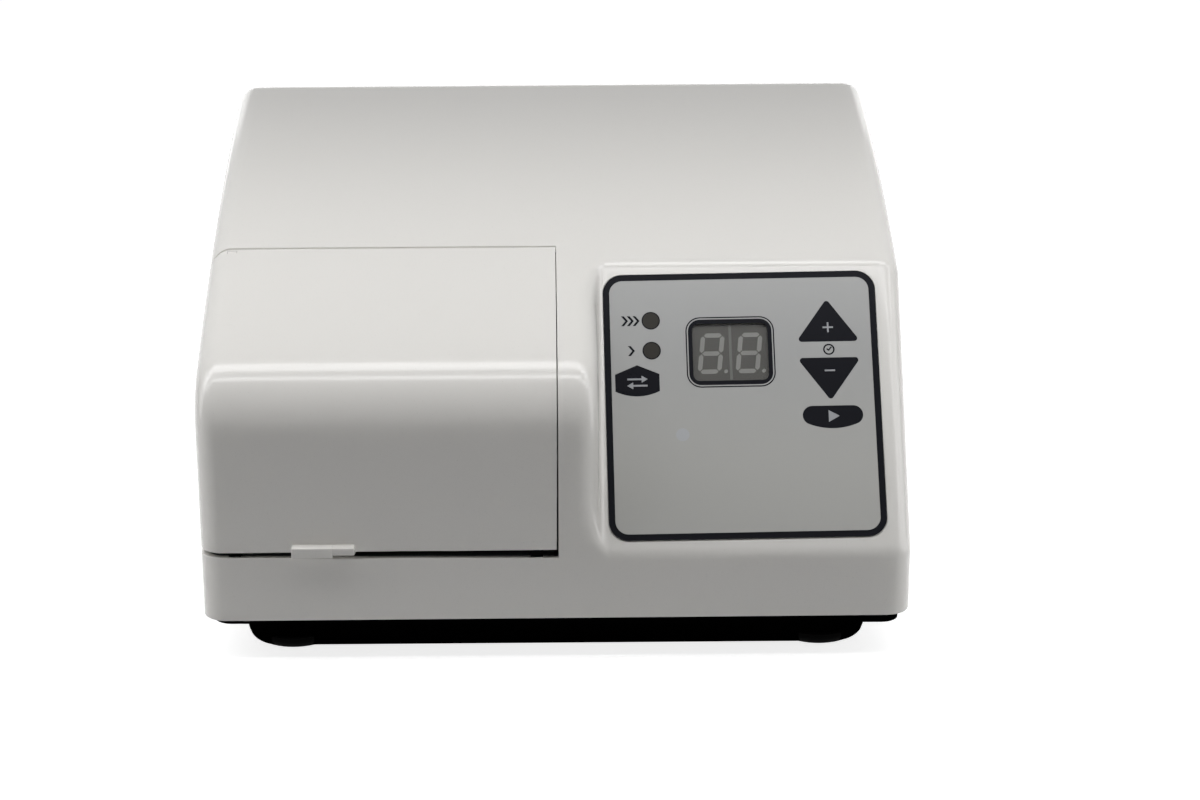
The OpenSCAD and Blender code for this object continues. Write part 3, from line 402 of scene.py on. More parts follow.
def outer_skin(name, rows, plain_columns, with_console):
    """The outer surface as one sheet of quads, with a flat many-sided face at each closed end."""
    rolls = [math.radians(90 - 9 * i) for i in range(10)]
    verts, faces = [], []
    sides = [tall for tall, console in rows]
    for a in rolls:
        verts += [surface_point(s, -side_x - edge_r * math.sin(a), edge_r * (1 - math.cos(a)))
                  for s in sides]
    for x in plain_columns:
        verts += [surface_point(s, x, 0) for s in sides]
    if with_console:
        pairs = [(surface_point(t, 0, 0), surface_point(c, 0, 0)) for t, c in rows]
        curves = [step_curve((a - b).length) for a, b in pairs]
        for k in range(1, len(curves[0])):
            for (a, b), curve in zip(pairs, curves):
                x, share = curve[k]
                place = a.lerp(b, share)
                verts.append(Vector((x, place.y, place.z)))
        sides = [console for tall, console in rows]
        start = step_x + 5 * MM
        for i in range(1, 13):
            verts += [surface_point(s, start + (side_x - start) * i / 12, 0) for s in sides]
        for a in reversed(rolls[:-1]):
            verts += [surface_point(s, side_x + edge_r * math.sin(a), edge_r * (1 - math.cos(a)))
                      for s in sides]
    n = len(rows)
    columns = len(verts) // n
    for c in range(columns - 1):
        faces += [(c * n + j, (c + 1) * n + j, (c + 1) * n + j + 1, c * n + j + 1) for j in range(n - 1)]
    faces.append(tuple(range(n)))
    if with_console:
        faces.append(tuple((columns - 1) * n + j for j in range(n - 1, -1, -1)))
    return mesh_object(name, verts, faces)


def cut_region(obj, planes, inside, keep):
    """Cuts the sheet along planes and drops the faces on one side of the region's outline."""
    work = bmesh.new()
    work.from_mesh(obj.data)
    for place, way in planes:
        geometry = list(work.verts) + list(work.edges) + list(work.faces)
        bmesh.ops.bisect_plane(work, geom=geometry, dist=1e-6, plane_co=place, plane_no=way)
    work.faces.ensure_lookup_table()
    drop = [f for f in work.faces if inside(f.calc_center_median()) != keep]
    bmesh.ops.delete(work, geom=drop, context="FACES")
    bmesh.ops.remove_doubles(work, verts=list(work.verts), dist=0.12 * MM)
    bmesh.ops.recalc_face_normals(work, faces=list(work.faces))
    work.to_mesh(obj.data)
    work.free()


def modifier(obj, kind, **settings):
    made = obj.modifiers.new(kind.lower(), kind)
    for key, value in settings.items():
        setattr(made, key, value)
    return made


def applied(obj):
    """Turns what the modifiers make into the object's own mesh."""
    depsgraph = bpy.context.evaluated_depsgraph_get()
    mesh = bpy.data.meshes.new_from_object(obj.evaluated_get(depsgraph))
    old = obj.data
    obj.modifiers.clear()
    obj.data = mesh
    mesh.name = obj.name
    bpy.data.meshes.remove(old)
    return obj


def smooth_by_angle(obj, angle=32):
    for face in obj.data.polygons:
        face.use_smooth = True
    obj.data.set_sharp_from_angle(angle=math.radians(angle))
    return obj


def join(first, *others):
    """Adds the other objects' meshes to the first one."""
    work = bmesh.new()
    for obj in (first, *others):
        work.from_mesh(obj.data)
    work.to_mesh(first.data)
    work.free()
    for obj in others:
        bpy.data.objects.remove(obj)
    return first


def welded(obj, gap):
    """Merges points closer than gap, and drops what has no area or no face left."""
    work = bmesh.new()
    work.from_mesh(obj.data)
    bmesh.ops.remove_doubles(work, verts=list(work.verts), dist=gap)
    bmesh.ops.dissolve_degenerate(work, edges=list(work.edges), dist=gap)
    bmesh.ops.delete(work, geom=[e for e in work.edges if not e.link_faces], context="EDGES")
    work.to_mesh(obj.data)
    work.free()
    return obj


def block(name, low, high):
    """A plain block between two corners, given from the housing's front face."""
    corners = [(x, y + FRONT, z) for x in (low[0], high[0]) for y in (low[1], high[1])
               for z in (low[2], high[2])]
    faces = [(0, 1, 3, 2), (4, 6, 7, 5), (0, 4, 5, 1), (2, 3, 7, 6), (0, 2, 6, 4), (1, 5, 7, 3)]
    return mesh_object(name, corners, faces)


def faced_outward(obj):
    """Turns a closed mesh's faces outwards."""
    work = bmesh.new()
    work.from_mesh(obj.data)
    bmesh.ops.recalc_face_normals(work, faces=list(work.faces))
    work.to_mesh(obj.data)
    work.free()
    return obj


def plate_x(name, outline, x0, x1):
    """A flat plate across X, with its outline given as (y, z) from the front face."""
    n = len(outline)
    verts = [(x, y + FRONT, z) for x in (x0, x1) for y, z in outline]
    faces = [tuple(range(n - 1, -1, -1)), tuple(range(n, 2 * n))]
    faces += [(i, (i + 1) % n, n + (i + 1) % n, n + i) for i in range(n)]
    return faced_outward(mesh_object(name, verts, faces))


def plate_y(name, outline, y0, y1):
    """A flat plate that faces the front, with its outline given as (x, z)."""
    obj = plate_x(name, [(x - FRONT, z) for x, z in outline], -y1 - FRONT, -y0 - FRONT)
    obj.data.transform(Matrix.Rotation(-math.pi / 2, 4, "Z"))
    return obj


def rod_x(name, r, x0, x1, y, z, sides=32):
    outline = [(y + r * math.cos(2 * math.pi * i / sides), z + r * math.sin(2 * math.pi * i / sides))
               for i in range(sides)]
    return plate_x(name, outline, x0, x1)


def cut_with(obj, cutter):
    modifier(obj, "BOOLEAN", operation="DIFFERENCE", solver="EXACT", object=cutter)
    applied(obj)
    bpy.data.objects.remove(cutter)
    return obj


def moulded_white():
    """Glossy white moulding: a faint cloud in the tone, a soft ripple in the gloss and a few fine specks."""
    material, tree = new_material("moulded_white")
    tone = (0.80, 0.785, 0.755)
    cloud = tree.noise(14, 3, 0.55)
    specks = tree.noise(2600, 1, 0.4) > 0.735
    colour = tree.mix(cloud * 0.35, tone, tuple(c * 0.975 for c in tone))
    colour = tree.mix(specks * 0.18, colour, (0.45, 0.45, 0.43))
    rough = tree.noise(55, 3, 0.6) * 0.06 + 0.17
    ripple = tree.bump(tree.noise(120, 2, 0.5), 0.035, 0.4 * MM)
    return surfaced(material, tree, Base_Color=colour, Roughness=rough, Normal=ripple, IOR=1.49,
                    Coat_Weight=0.25, Coat_Roughness=0.06)


WHITE = moulded_white()


def place_piece(obj, body, slot, *nodes):
    """Ties a finished piece to its body and hides the CAD nodes that it stands for. Its slot is not used."""
    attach(obj, body)
    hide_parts(*nodes)
    return obj


def plane_y(y):
    return (0, y + FRONT, 0), (0, 1, 0)


def leaning_z(z, slope):
    """A plane through z in the middle of the machine, leaning sideways by slope degrees."""
    a = math.radians(slope)
    return (0, 0, z), (-math.sin(a), 0, math.cos(a))


def above(place, plane):
    return (place - Vector(plane[0])).dot(Vector(plane[1])) > 0


lip_plane = leaning_z(lip_z, lip_slope)
foot_plane = leaning_z(base_z + 0.8 * MM, 0.12)


def in_bay(place):
    """The lid's opening, and what is below the housing's lower edge, which rises to the right."""
    y = place.y - FRONT
    if not above(place, foot_plane):
        return True
    in_depth = y < bay_side_y or (place.z > bay_notch_z and y < bay_top_y)
    return place.x < bay_x and above(place, lip_plane) and in_depth


bay_columns = [-side_x + (side_x - 6 * MM) * i / 17 for i in range(1, 18)] + [bay_x, step_x - edge_r]
housing_rows = rows_of(bay_top_y)
housing = outer_skin("housing_shell", housing_rows, bay_columns, True)
cut_region(housing, [lip_plane, foot_plane, ((bay_x, 0, 0), (1, 0, 0)), leaning_z(bay_notch_z, 0),
                     plane_y(bay_side_y), plane_y(bay_top_y)], in_bay, False)
modifier(housing, "SOLIDIFY", thickness=wall, offset=-1, use_even_offset=True)
modifier(housing, "BEVEL", width=0.25 * MM, segments=2, limit_method="ANGLE", angle_limit=math.radians(50),
         use_clamp_overlap=False)
applied(housing)

# the console's own frame: across, up the slope and out of the surface, from the panel's centre
panel_c = (61.8 * MM, 49.92 * MM)
panel_turn = math.radians(0.7)
panel_side = 90.2 * MM
panel_r = 6.5 * MM
recess_n = -0.5 * MM
key_stems = [(28.8, 25.43), (28.8, 10.67), (-34.5, 8.6), (29.2, -5.0)]
lamp_at = [(-29.5, 29.1), (-29.5, 18.8)]
window_at = (-3.55 * MM, 17.9 * MM)


def on_console(a, b, n):
    """A place on the console. The whole panel sits a little askew in the machine."""
    out = normal_at(console_tilt)
    across = a * math.cos(panel_turn) - b * math.sin(panel_turn)
    upward = a * math.sin(panel_turn) + b * math.cos(panel_turn)
    place = slope_foot + slope_way * (panel_c[1] + upward) + out * n
    return Vector((panel_c[0] + across, place.x + FRONT, place.y))


def arc_points(centre, r, first, last, steps):
    return [(centre[0] + r * math.cos(math.radians(first + (last - first) * i / steps)),
             centre[1] + r * math.sin(math.radians(first + (last - first) * i / steps)))
            for i in range(steps + 1)]


def round_rect(width, height, r, steps=8, centre=(0, 0)):
    made = []
    for turn, (sx, sy) in enumerate(((1, 1), (-1, 1), (-1, -1), (1, -1))):
        corner = (centre[0] + sx * (width / 2 - r), centre[1] + sy * (height / 2 - r))
        made += arc_points(corner, r, 90 * turn, 90 * turn + 90, steps)
    return made


def circle_points(centre, r, steps=40):
    return arc_points(centre, r, 0, 360 * (steps - 1) / steps, steps - 1)


def console_prism(name, outline, n0, n1, material=None, hole=None):
    """A flat piece on the console between two heights above its surface, with one hole at most."""
    rings = [outline] + ([hole] if hole else [])
    verts, faces = [], []
    count = len(outline)
    for n in (n0, n1):
        for ring in rings:
            verts += [on_console(a, b, n) for a, b in ring]
    if hole:
        for i in range(count):
            j = (i + 1) % count
            faces += [(2 * count + i, 2 * count + j, 3 * count + j, 3 * count + i),
                      (i, count + i, count + j, j),
                      (i, j, 2 * count + j, 2 * count + i),
                      (count + j, count + i, 3 * count + i, 3 * count + j)]
    else:
        faces = [tuple(range(count - 1, -1, -1)), tuple(range(count, 2 * count))]
        faces += [(i, (i + 1) % count, count + (i + 1) % count, count + i) for i in range(count)]
    return faced_outward(mesh_object(name, verts, faces, material))


recess_side = panel_side + 0.4 * MM
recess = console_prism("panel_recess", round_rect(recess_side, recess_side, panel_r), recess_n, 5 * MM)
cut_with(housing, recess)
hole_n = 8 * MM
window_opening = round_rect(25.6 * MM, 19.4 * MM, 1 * MM, 3, window_at)
holes = [console_prism("window_opening", window_opening, -hole_n, hole_n)]
for kind, places, r in (("lamp", lamp_at, 2.7 * MM), ("stem", key_stems, 2.4 * MM)):
    for i, (a, b) in enumerate(places):
        outline = circle_points((a * MM, b * MM), r, 24)
        holes.append(console_prism(f"{kind}_hole_{i}", outline, -hole_n, hole_n))
cut_with(housing, join(*holes))

# recesses in the rear wall for the mains inlet and the power switch, and the vent slots
rear_y = 178 * MM
inlet_at = (80 * MM, 44 * MM)
rocker_at = (34 * MM, 44 * MM)
far_y = 200 * MM
cut_y = 160 * MM


def rear_hole(name, centre, half_x, half_z, from_y):
    """A block through the rear wall, from some depth outwards."""
    return block(name, (centre[0] - half_x, from_y, centre[1] - half_z),
                 (centre[0] + half_x, far_y, centre[1] + half_z))


pad = block("rear_pad", (rocker_at[0] - 14 * MM, rear_y - wall, 26 * MM),
            (half_w - 3 * MM, rear_y + 0.4 * MM, 62 * MM))
cut_with(housing, join(rear_hole("inlet_recess", inlet_at, 26 * MM, 13 * MM, rear_y),
                       rear_hole("rocker_recess", rocker_at, 9.5 * MM, 12.5 * MM, rear_y)))
fittings = (("inlet_hole", inlet_at, 14.3 * MM, 10.8 * MM), ("rocker_hole", rocker_at, 6.5 * MM, 9.5 * MM))
through = [rear_hole(*fitting, cut_y) for fitting in fittings]
cut_with(pad, join(*[rear_hole(*fitting, cut_y) for fitting in fittings]))
vents = [block(f"vent_{i}", ((-86 + 8 * i) * MM, cut_y, 60 * MM), ((-83 + 8 * i) * MM, far_y, 100 * MM))
         for i in range(8)]
cut_with(housing, join(*through, *vents))

# the chamber: a right wall, a rear wall with the arm's slot, and the ledges that carry the tray
ledge_z = 29.1 * MM
tray_z = 31.6 * MM
inner_x = half_w - wall


def rows_between(rows, low_z, far_y):
    """The tall side's rows whose outline lies above a height and in front of a depth."""
    skins = [(tall, tall[0] + edge_r * normal_at(tall[1])) for tall, _ in rows]
    return [tall for tall, skin in skins if skin.y > low_z and skin.x < far_y and tall[1] < 90]


rim = [surface_point(row, 0, wall / 2) for row in rows_between(housing_rows, ledge_z, bay_top_y + wall)]
side_outline = [(wall / 2, ledge_z)] + [(p.y - FRONT, p.z) for p in rim]
side_outline += [(bay_top_y + wall, rim[-1].z), (bay_top_y + wall, ledge_z)]
right_wall = plate_x("chamber_right_wall", side_outline, bay_x, bay_x + wall)
roof_z = rim[-1].z - 0.3 * MM
rear_corner = arc_points((-side_x, roof_z - edge_r + wall / 2), edge_r - wall / 2, 90, 180, 12)
rear_outline = [(-inner_x - wall / 2, ledge_z), (bay_x + wall, ledge_z), (bay_x + wall, roof_z)]
rear_wall = plate_y("chamber_rear_wall", rear_outline + rear_corner, bay_top_y, bay_top_y + wall)
slot_x, slot_z, slot_half = -55 * MM, 72 * MM, (9.5 * MM, 6 * MM)
cut_with(rear_wall, block("arm_slot", (slot_x - slot_half[0], bay_top_y - wall, slot_z - slot_half[1]),
                          (slot_x + slot_half[0], bay_top_y + 2 * wall, slot_z + slot_half[1])))
ledge_x = -101 * MM
ledges = [block("ledge", (ledge_x, near, ledge_z), (bay_x + wall / 2, far, tray_z)) for near, far in
          ((wall - 0.1 * MM, wall + 4 * MM), (bay_top_y - 4 * MM, bay_top_y + 0.1 * MM))]
eye_x = (-109 * MM, -106 * MM)
lug = rod_x("hinge_eye", wall / 2, *eye_x, *hinge)
lug_foot = block("hinge_eye_foot", (eye_x[0], hinge[0], hinge[1] - wall / 2),
                 (eye_x[1], bay_top_y + wall / 2, hinge[1] + 0.87 * MM))
welded(housing, 0.003 * MM)
join(housing, pad, right_wall, rear_wall, *ledges, lug, lug_foot)
smooth_by_angle(housing)
housing.data.materials.clear()
housing.data.materials.append(WHITE)
place_piece(housing, "base", "white_shell", "housing")


# Lid
# The same skin as the housing, cut out round the chamber. It wraps the left corner, hangs on two
# pins in the middle of its own rear edge, which is a half round, and has a deep flange on its right.
lid_z = 38.2 * MM
lid_plane = leaning_z(lid_z + 0.45 * MM, 0.2)
lid_x = 0.2 * MM
lid_right = ((lid_x, 0, lid_z), (1, 0, -0.0045))
lid_side_y = 61.4 * MM
lid_top_y = hinge[0] + wall / 2


def in_lid(place):
    y = place.y - FRONT
    in_depth = y < lid_side_y or (place.z > bay_notch_z and y < lid_top_y)
    return not above(place, lid_right) and above(place, lid_plane) and in_depth


def roll_edges(obj, pick, width, segments):
    """Rolls over the sharp edges that pick chooses by the places of both their ends."""
    work = bmesh.new()
    work.from_mesh(obj.data)
    sharp = [e for e in work.edges if len(e.link_faces) == 2 and e.calc_face_angle(0) > math.radians(50)]
    chosen = [e for e in sharp if all(pick(v.co) for v in e.verts)]
    bmesh.ops.bevel(work, geom=chosen, offset=width, segments=segments, profile=0.5, affect="EDGES",
                    clamp_overlap=False)
    work.to_mesh(obj.data)
    work.free()


lid_columns = [-side_x + side_x * i / 17 for i in range(1, 18)] + [step_x - edge_r]
lid_rows = rows_of(lid_top_y)
lid = outer_skin("lid_shell", lid_rows, lid_columns, False)
cut_region(lid, [lid_plane, lid_right, leaning_z(bay_notch_z, 0), plane_y(lid_side_y), plane_y(lid_top_y)],
           in_lid, True)
modifier(lid, "SOLIDIFY", thickness=wall, offset=-1, use_even_offset=True)
applied(lid)
roll_edges(lid, lambda p: p.y - FRONT > lid_side_y + 0.6 * MM and p.z > hinge[1] - 3 * MM, 0.9 * MM, 4)
roll_edges(lid, lambda p: p.y - FRONT < lid_side_y + 0.1 * MM and p.z < lid_z + 4 * MM, 0.3 * MM, 2)
cut_with(lid, rod_x("hinge_notch", wall / 2 + 0.06 * MM, eye_x[0] - 0.12 * MM, eye_x[1] + 0.12 * MM, *hinge))
flange_rows = rows_between(lid_rows, lid_z + 0.5 * MM, lid_side_y)
flange = [[surface_point(row, 0, depth) for row in flange_rows] for depth in (wall / 2, 12 * MM)]
flange_outline = [(p.y - FRONT, p.z) for p in flange[0]] + [(p.y - FRONT, p.z) for p in reversed(flange[1])]
join(lid, plate_x("lid_flange", flange_outline, lid_x - wall, lid_x))
smooth_by_angle(lid)
lid.data.materials.append(WHITE)
place_piece(lid, "lid", "white_shell", "lid")


# Pull tab
# A small clip of the lid's own white plastic on the lid's lower edge, by which a finger lifts it. Its
# right third stands a little higher than the rest.
tab_low, tab_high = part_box("lid_tab")
tab_x = (tab_low[0] + 0.7 * MM, tab_high[0] + 1.1 * MM)
tab_split = tab_x[0] + (tab_x[1] - tab_x[0]) * 0.64
tab_z = (tab_low[2] + 0.95 * MM, tab_low[2] + 4.35 * MM)
tab_y = (-3.5 * MM, 0.3 * MM)
tab_parts = [block("tab_part", low, high) for low, high in
             (((tab_x[0], tab_y[0], tab_z[0]), (tab_split + 0.3 * MM, tab_y[1], tab_z[1])),
              ((tab_split, tab_y[0], tab_z[0] + 0.85 * MM), (tab_x[1], tab_y[1], tab_z[1])),
              ((tab_x[0], 0, tab_z[0]), (tab_x[1], 6 * MM, lid_z)))]
for part in tab_parts:
    modifier(part, "BEVEL", width=0.35 * MM, segments=3, limit_method="NONE")
    welded(applied(part), 0.001 * MM)
pull_tab = join(*tab_parts)
pull_tab.name = "pull_tab"
smooth_by_angle(pull_tab, 40)
pull_tab.data.materials.append(WHITE)
place_piece(pull_tab, "lid", "white_shell", "lid_tab")


# Black parts on the outside
# The mains inlet, the power switch and the two spots under the lid are dyed through. The base pan and
# the feet take their blacks from here too; the pan's glossless near-black is partly painted shade.
def plain_finish(name, tone, rough, grain=900, depth=0.05, spread=0.12, metallic=0.0, gloss=0.5):
    """A dyed or plated surface: its tone and roughness wander a little, over a fine grain."""
    material, tree = new_material(name)
    drift = tree.noise(grain / 40, 3, 0.6)
    colour = tree.mix(drift, tuple(c * (1 - spread) for c in tone),
                      tuple(min(c * (1 + spread), 1) for c in tone))
    grains = tree.noise(grain, 2, 0.5)
    roughness = drift * 0.12 + grains * 0.06 + (rough - 0.09)
    return surfaced(material, tree, Base_Color=colour, Roughness=roughness, Metallic=metallic,
                    Normal=tree.bump(grains, depth, 0.3 * MM), Specular_IOR_Level=gloss)


def dress(material, *nodes):
    """Gives CAD nodes a finish."""
    for name in nodes:
        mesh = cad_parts[name].data
        mesh.materials.clear()
        mesh.materials.append(material)


BLACK = plain_finish("black_plastic", (0.012, 0.012, 0.013), 0.45)
# The tray's glossless near-black is partly painted shade: its front stands in for the shadow under the
# housing.
PAN_BLACK_AND_SHADE = plain_finish("pan_black", (0.001, 0.001, 0.001), 0.6, gloss=0.0)
RUBBER = plain_finish("foot_rubber", (0.0015, 0.0015, 0.0015), 0.7, 1400, 0.12, gloss=0.02)
dress(BLACK, "mains_inlet", "power_switch_frame", "power_rocker")
dress(RUBBER, "lid_bumpers")


# Control panel
# A pale film with its frame, signs and key shapes printed on it, stuck into the console's recess. At its
# right are two keys for the time, with a clock between them, and the start key. At its left are two
# lamps above the speed key.
def panel_film():
    """Pale grey film, darker towards its top as painted shade, with a faint bluish dot at the left of its
    middle.
    """
    material, tree = new_material("printed_film")
    place = tree.place()
    cloud = tree.noise(22, 2, 0.5, place)
    height = tree.node("ShaderNodeSeparateXYZ", None, place, out="Z")
    rise = tree.node("ShaderNodeMapRange", {"interpolation_type": "SMOOTHSTEP"}, Value=height,
                     From_Min=0.055, From_Max=0.10)
    # The darker tone towards the film's top is painted shade.
    top = tree.mix(cloud * 0.5, (0.385, 0.389, 0.387), (0.36, 0.365, 0.365))
    colour = tree.mix(rise, tree.mix(cloud * 0.5, (0.475, 0.475, 0.455), (0.46, 0.46, 0.445)), top)
    dot = on_console(-20.2 * MM, -10 * MM, 0)
    away = tree.node("ShaderNodeVectorMath", {"operation": "DISTANCE"}, place, tuple(dot), out="Value")
    colour = tree.mix((away < 2.2 * MM) * 0.35, colour, (0.50, 0.54, 0.62))
    fine = tree.noise(2200, 2, 0.5, place)
    return surfaced(material, tree, Base_Color=colour, Roughness=fine * 0.08 + 0.3,
                    Normal=tree.bump(fine, 0.03, 0.1 * MM), Coat_Weight=0.15, Coat_Roughness=0.2)


INK = plain_finish("printed_ink", (0.0085, 0.009, 0.0125), 0.3, 1600, 0.02, gloss=0.06)
PALE_INK = plain_finish("pale_ink", (0.33, 0.34, 0.36), 0.4, 1600, 0.02)
FILM = panel_film()
film_n = 0.3 * MM
ink_n = film_n + 0.03 * MM
film_t = 0.8 * MM
travel = 0.4 * MM
stem_n = -7.1 * MM


def scaled(outline):
    return [(a * MM, b * MM) for a, b in outline]


def printed(name, outlines, material, body, n0=film_n - 0.02 * MM, n1=ink_n):
    """Printed shapes on the film; each is an outline, or an outline with a hole, in millimetres."""
    made = []
    for i, shape in enumerate(outlines):
        ring, hole = shape if isinstance(shape, tuple) else (shape, None)
        made.append(console_prism(f"{name}_{i}", scaled(ring), n0, n1, None, hole and scaled(hole)))
    obj = join(*made)
    obj.name = name
    obj.data.materials.append(material)
    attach(obj, body)
    return obj


def bar(centre, length, thick, angle=0):
    """A straight stroke with square ends."""
    a = math.radians(angle)
    way, across = (math.cos(a), math.sin(a)), (-math.sin(a), math.cos(a))
    corners = [(1, 1), (-1, 1), (-1, -1), (1, -1)]
    return [(centre[0] + way[0] * sx * length / 2 + across[0] * sy * thick / 2,
             centre[1] + way[1] * sx * length / 2 + across[1] * sy * thick / 2) for sx, sy in corners]


def ring_shape(centre, r, thick):
    return circle_points(centre, r), circle_points(centre, r - thick)


def rounded(points, r):
    """A closed shape whose corners, given in turn anticlockwise, are rounded."""
    steps = 8
    made = []
    for i, corner in enumerate(points):
        here = Vector(corner)
        before = (Vector(points[i - 1]) - here).normalized()
        after = (Vector(points[(i + 1) % len(points)]) - here).normalized()
        half = before.angle(after) / 2
        centre = here + (before + after).normalized() * r / math.sin(half)
        start = here + before * r / math.tan(half) - centre
        turn = math.pi - 2 * half
        for k in range(steps + 1):
            a = turn * k / steps
            made.append((centre.x + start.x * math.cos(a) - start.y * math.sin(a),
                         centre.y + start.x * math.sin(a) + start.y * math.cos(a)))
    return made


def bowed(left, right, sag):
    """Points of an arc that hangs by sag between two points, without the points themselves."""
    steps = 16
    reach = (right[0] - left[0]) / 2
    r = (reach ** 2 + sag ** 2) / (2 * sag)
    middle = (left[0] + right[0]) / 2
    made = []
    for i in range(1, steps):
        x = -reach + 2 * reach * i / steps
        made.append((middle + x, left[1] + (r - sag) - math.sqrt(r ** 2 - x ** 2)))
    return made


def arrow(standing):
    """A triangle key with rounded tips, standing on its flat side or hanging from it."""
    x, reach, tall = key_stems[0][0], 10.6, 14.7
    flat_y = 20.8 if standing else 15.3
    if standing:
        return rounded([(x - reach, flat_y), (x + reach, flat_y), (x, flat_y + tall)], 1.0)
    return rounded([(x - reach, flat_y), (x, flat_y - tall), (x + reach, flat_y)], 1.0)


def select_outline():
    x, y = key_stems[2]
    half = 7.3
    sides = [(x - half, y - 3.6), (x + half, y - 3.6), (x + half, y + 2.2), (x, y + 5.3), (x - half, y + 2.2)]
    return [sides[0]] + bowed(sides[0], sides[1], 1.75) + sides[1:]


def start_outline():
    x, y = key_stems[3]
    half, r = 9.9, 3.2
    top = arc_points((x + half - r, y + 3.9 - r), r, -60, 90, 12)
    top += arc_points((x - half + r, y + 3.9 - r), r, 90, 240, 12)
    return top + bowed(top[-1], top[0], 1.7)


def window_rect(width, height, r):
    """A rounded rectangle round the display window's middle."""
    return round_rect(width, height, r, 8, window_mid)


keys = {"up": arrow(True), "down": arrow(False), "select": select_outline(), "start": start_outline()}
film = console_prism("panel_film", round_rect(panel_side, panel_side, panel_r, 10), recess_n, film_n, FILM)
window_mid = (window_at[0] / MM, window_at[1] / MM)
window_edge = window_rect(28.4, 23.3, 4.4)
lamp_r = 3.0
cut_n = 2 * MM
cuts = [console_prism(f"{name}_key_hole", scaled(outline), -cut_n, cut_n) for name, outline in keys.items()]
cuts.append(console_prism("window_hole", scaled(window_edge), -cut_n, cut_n))
cuts += [console_prism(f"lamp_opening_{i}", scaled(circle_points(place, lamp_r)), -cut_n, cut_n)
         for i, place in enumerate(lamp_at)]
cut_with(film, join(*cuts))
smooth_by_angle(film, 20)
place_piece(film, "base", "panel_film", "panel_overlay")
for (name, outline), place in zip(keys.items(), key_stems):
    cap = console_prism(f"{name}_key_cap", scaled(outline), film_n - film_t + travel, film_n, INK)
    stem = console_prism(f"{name}_key_stem", scaled(circle_points(place, 2.0, 24)), stem_n, 0, INK)
    key = join(cap, stem)
    smooth_by_angle(key, 25)
    place_piece(key, f"{name}_key", "key_ink", f"key_{name}")

side = panel_side / MM
frame_w, frame_r = 2.1, 6.5
frame_ring = (round_rect(side, side, frame_r, 10),
              round_rect(side - 2 * frame_w, side - 2 * frame_w, frame_r - frame_w, 10))
window_line = (window_rect(29.25, 24.15, 4.8), window_edge)
clock_at = (28.9, 18.1)
clock = [ring_shape(clock_at, 1.9, 0.5), bar((clock_at[0] + 0.35, clock_at[1] + 0.25), 1.6, 0.45, 50),
         bar((clock_at[0] - 0.36, clock_at[1] - 0.05), 0.9, 0.45, 138)]


def chevron(x, y):
    """An arrow head of two strokes."""
    return [(x + 1.0, y), (x - 0.4, y + 1.7), (x - 1.3, y + 1.7),
            (x + 0.1, y), (x - 1.3, y - 1.7), (x - 0.4, y - 1.7)]


fast_y, slow_y = lamp_at[0][1], lamp_at[1][1]
speed_marks = [chevron(-38.0, fast_y), chevron(-36.1, fast_y), chevron(-34.2, fast_y), chevron(-36.0, slow_y)]
printed("panel_print", [frame_ring, window_line, *clock, *speed_marks], INK, "base")
mark_x = key_stems[0][0] + 0.1
plus_y, plus_arm, stroke = 25.7, 0.98, 0.55
plus = [bar((mark_x, plus_y), 3.4, stroke), bar((mark_x, plus_y + plus_arm), 1.45, stroke, 90),
        bar((mark_x, plus_y - plus_arm), 1.45, stroke, 90)]
printed("plus_mark", plus, PALE_INK, "up_key")
printed("minus_mark", [bar((mark_x, 10.9), 3.4, stroke)], PALE_INK, "down_key")
select_c = (key_stems[2][0], 8.0)


def long_arrow(centre, way):
    """An arrow that points along the panel, as one outline."""
    x, y = centre
    points = [(-3.3, -0.3), (1.4, -0.3), (1.4, -1.2), (3.4, 0.0), (1.4, 1.2), (1.4, 0.3), (-3.3, 0.3)]
    return [(x + way * a, y + way * b) for a, b in points]


opposed = [long_arrow((select_c[0], select_c[1] + way * 1.1), way) for way in (1, -1)]
printed("select_mark", opposed, PALE_INK, "select_key")
x, y = key_stems[3][0], -4.6
printed("start_mark", [[(x + 2.2, y), (x - 1.4, y + 2.0), (x - 1.4, y - 2.0)]], PALE_INK, "start_key")


# Display
# Two seven-segment modules stand side by side behind a smoked window with a pale line and a black
# border. Unlit, their segments are paler than their dark grey faces.
def smoked():
    """Dark clear film that lets most of the light through, with a slight haze."""
    material, tree = new_material("smoked_film")
    haze = tree.noise(60, 2, 0.5)
    return surfaced(material, tree, Base_Color=(0.03, 0.03, 0.03, 1), Roughness=haze * 0.06 + 0.08,
                    Alpha=haze * 0.06 + 0.16, Specular_IOR_Level=0.3)


SMOKE = smoked()
LAMP_FILM = plain_finish("lamp_film", (0.037, 0.034, 0.03), 0.3, 1300, 0.03, 0.3, gloss=0.12)
DIGIT_FACE = plain_finish("module_face", (0.20, 0.197, 0.182), 0.5, 700, 0.03, 0.15)
SEGMENT = plain_finish("unlit_segment", (0.60, 0.60, 0.57), 0.45, 700, 0.02, 0.1)
DIVIDER = plain_finish("module_edge", (0.36, 0.36, 0.345), 0.45, 700, 0.02, 0.1)
LENS = plain_finish("lamp_lens", (0.16, 0.045, 0.03), 0.25, 500, 0.01)
digit_n = -0.7 * MM
digit_depth = 8 * MM
digit_size = (12.6, 19.0)
digit_lean = math.tan(math.radians(7))

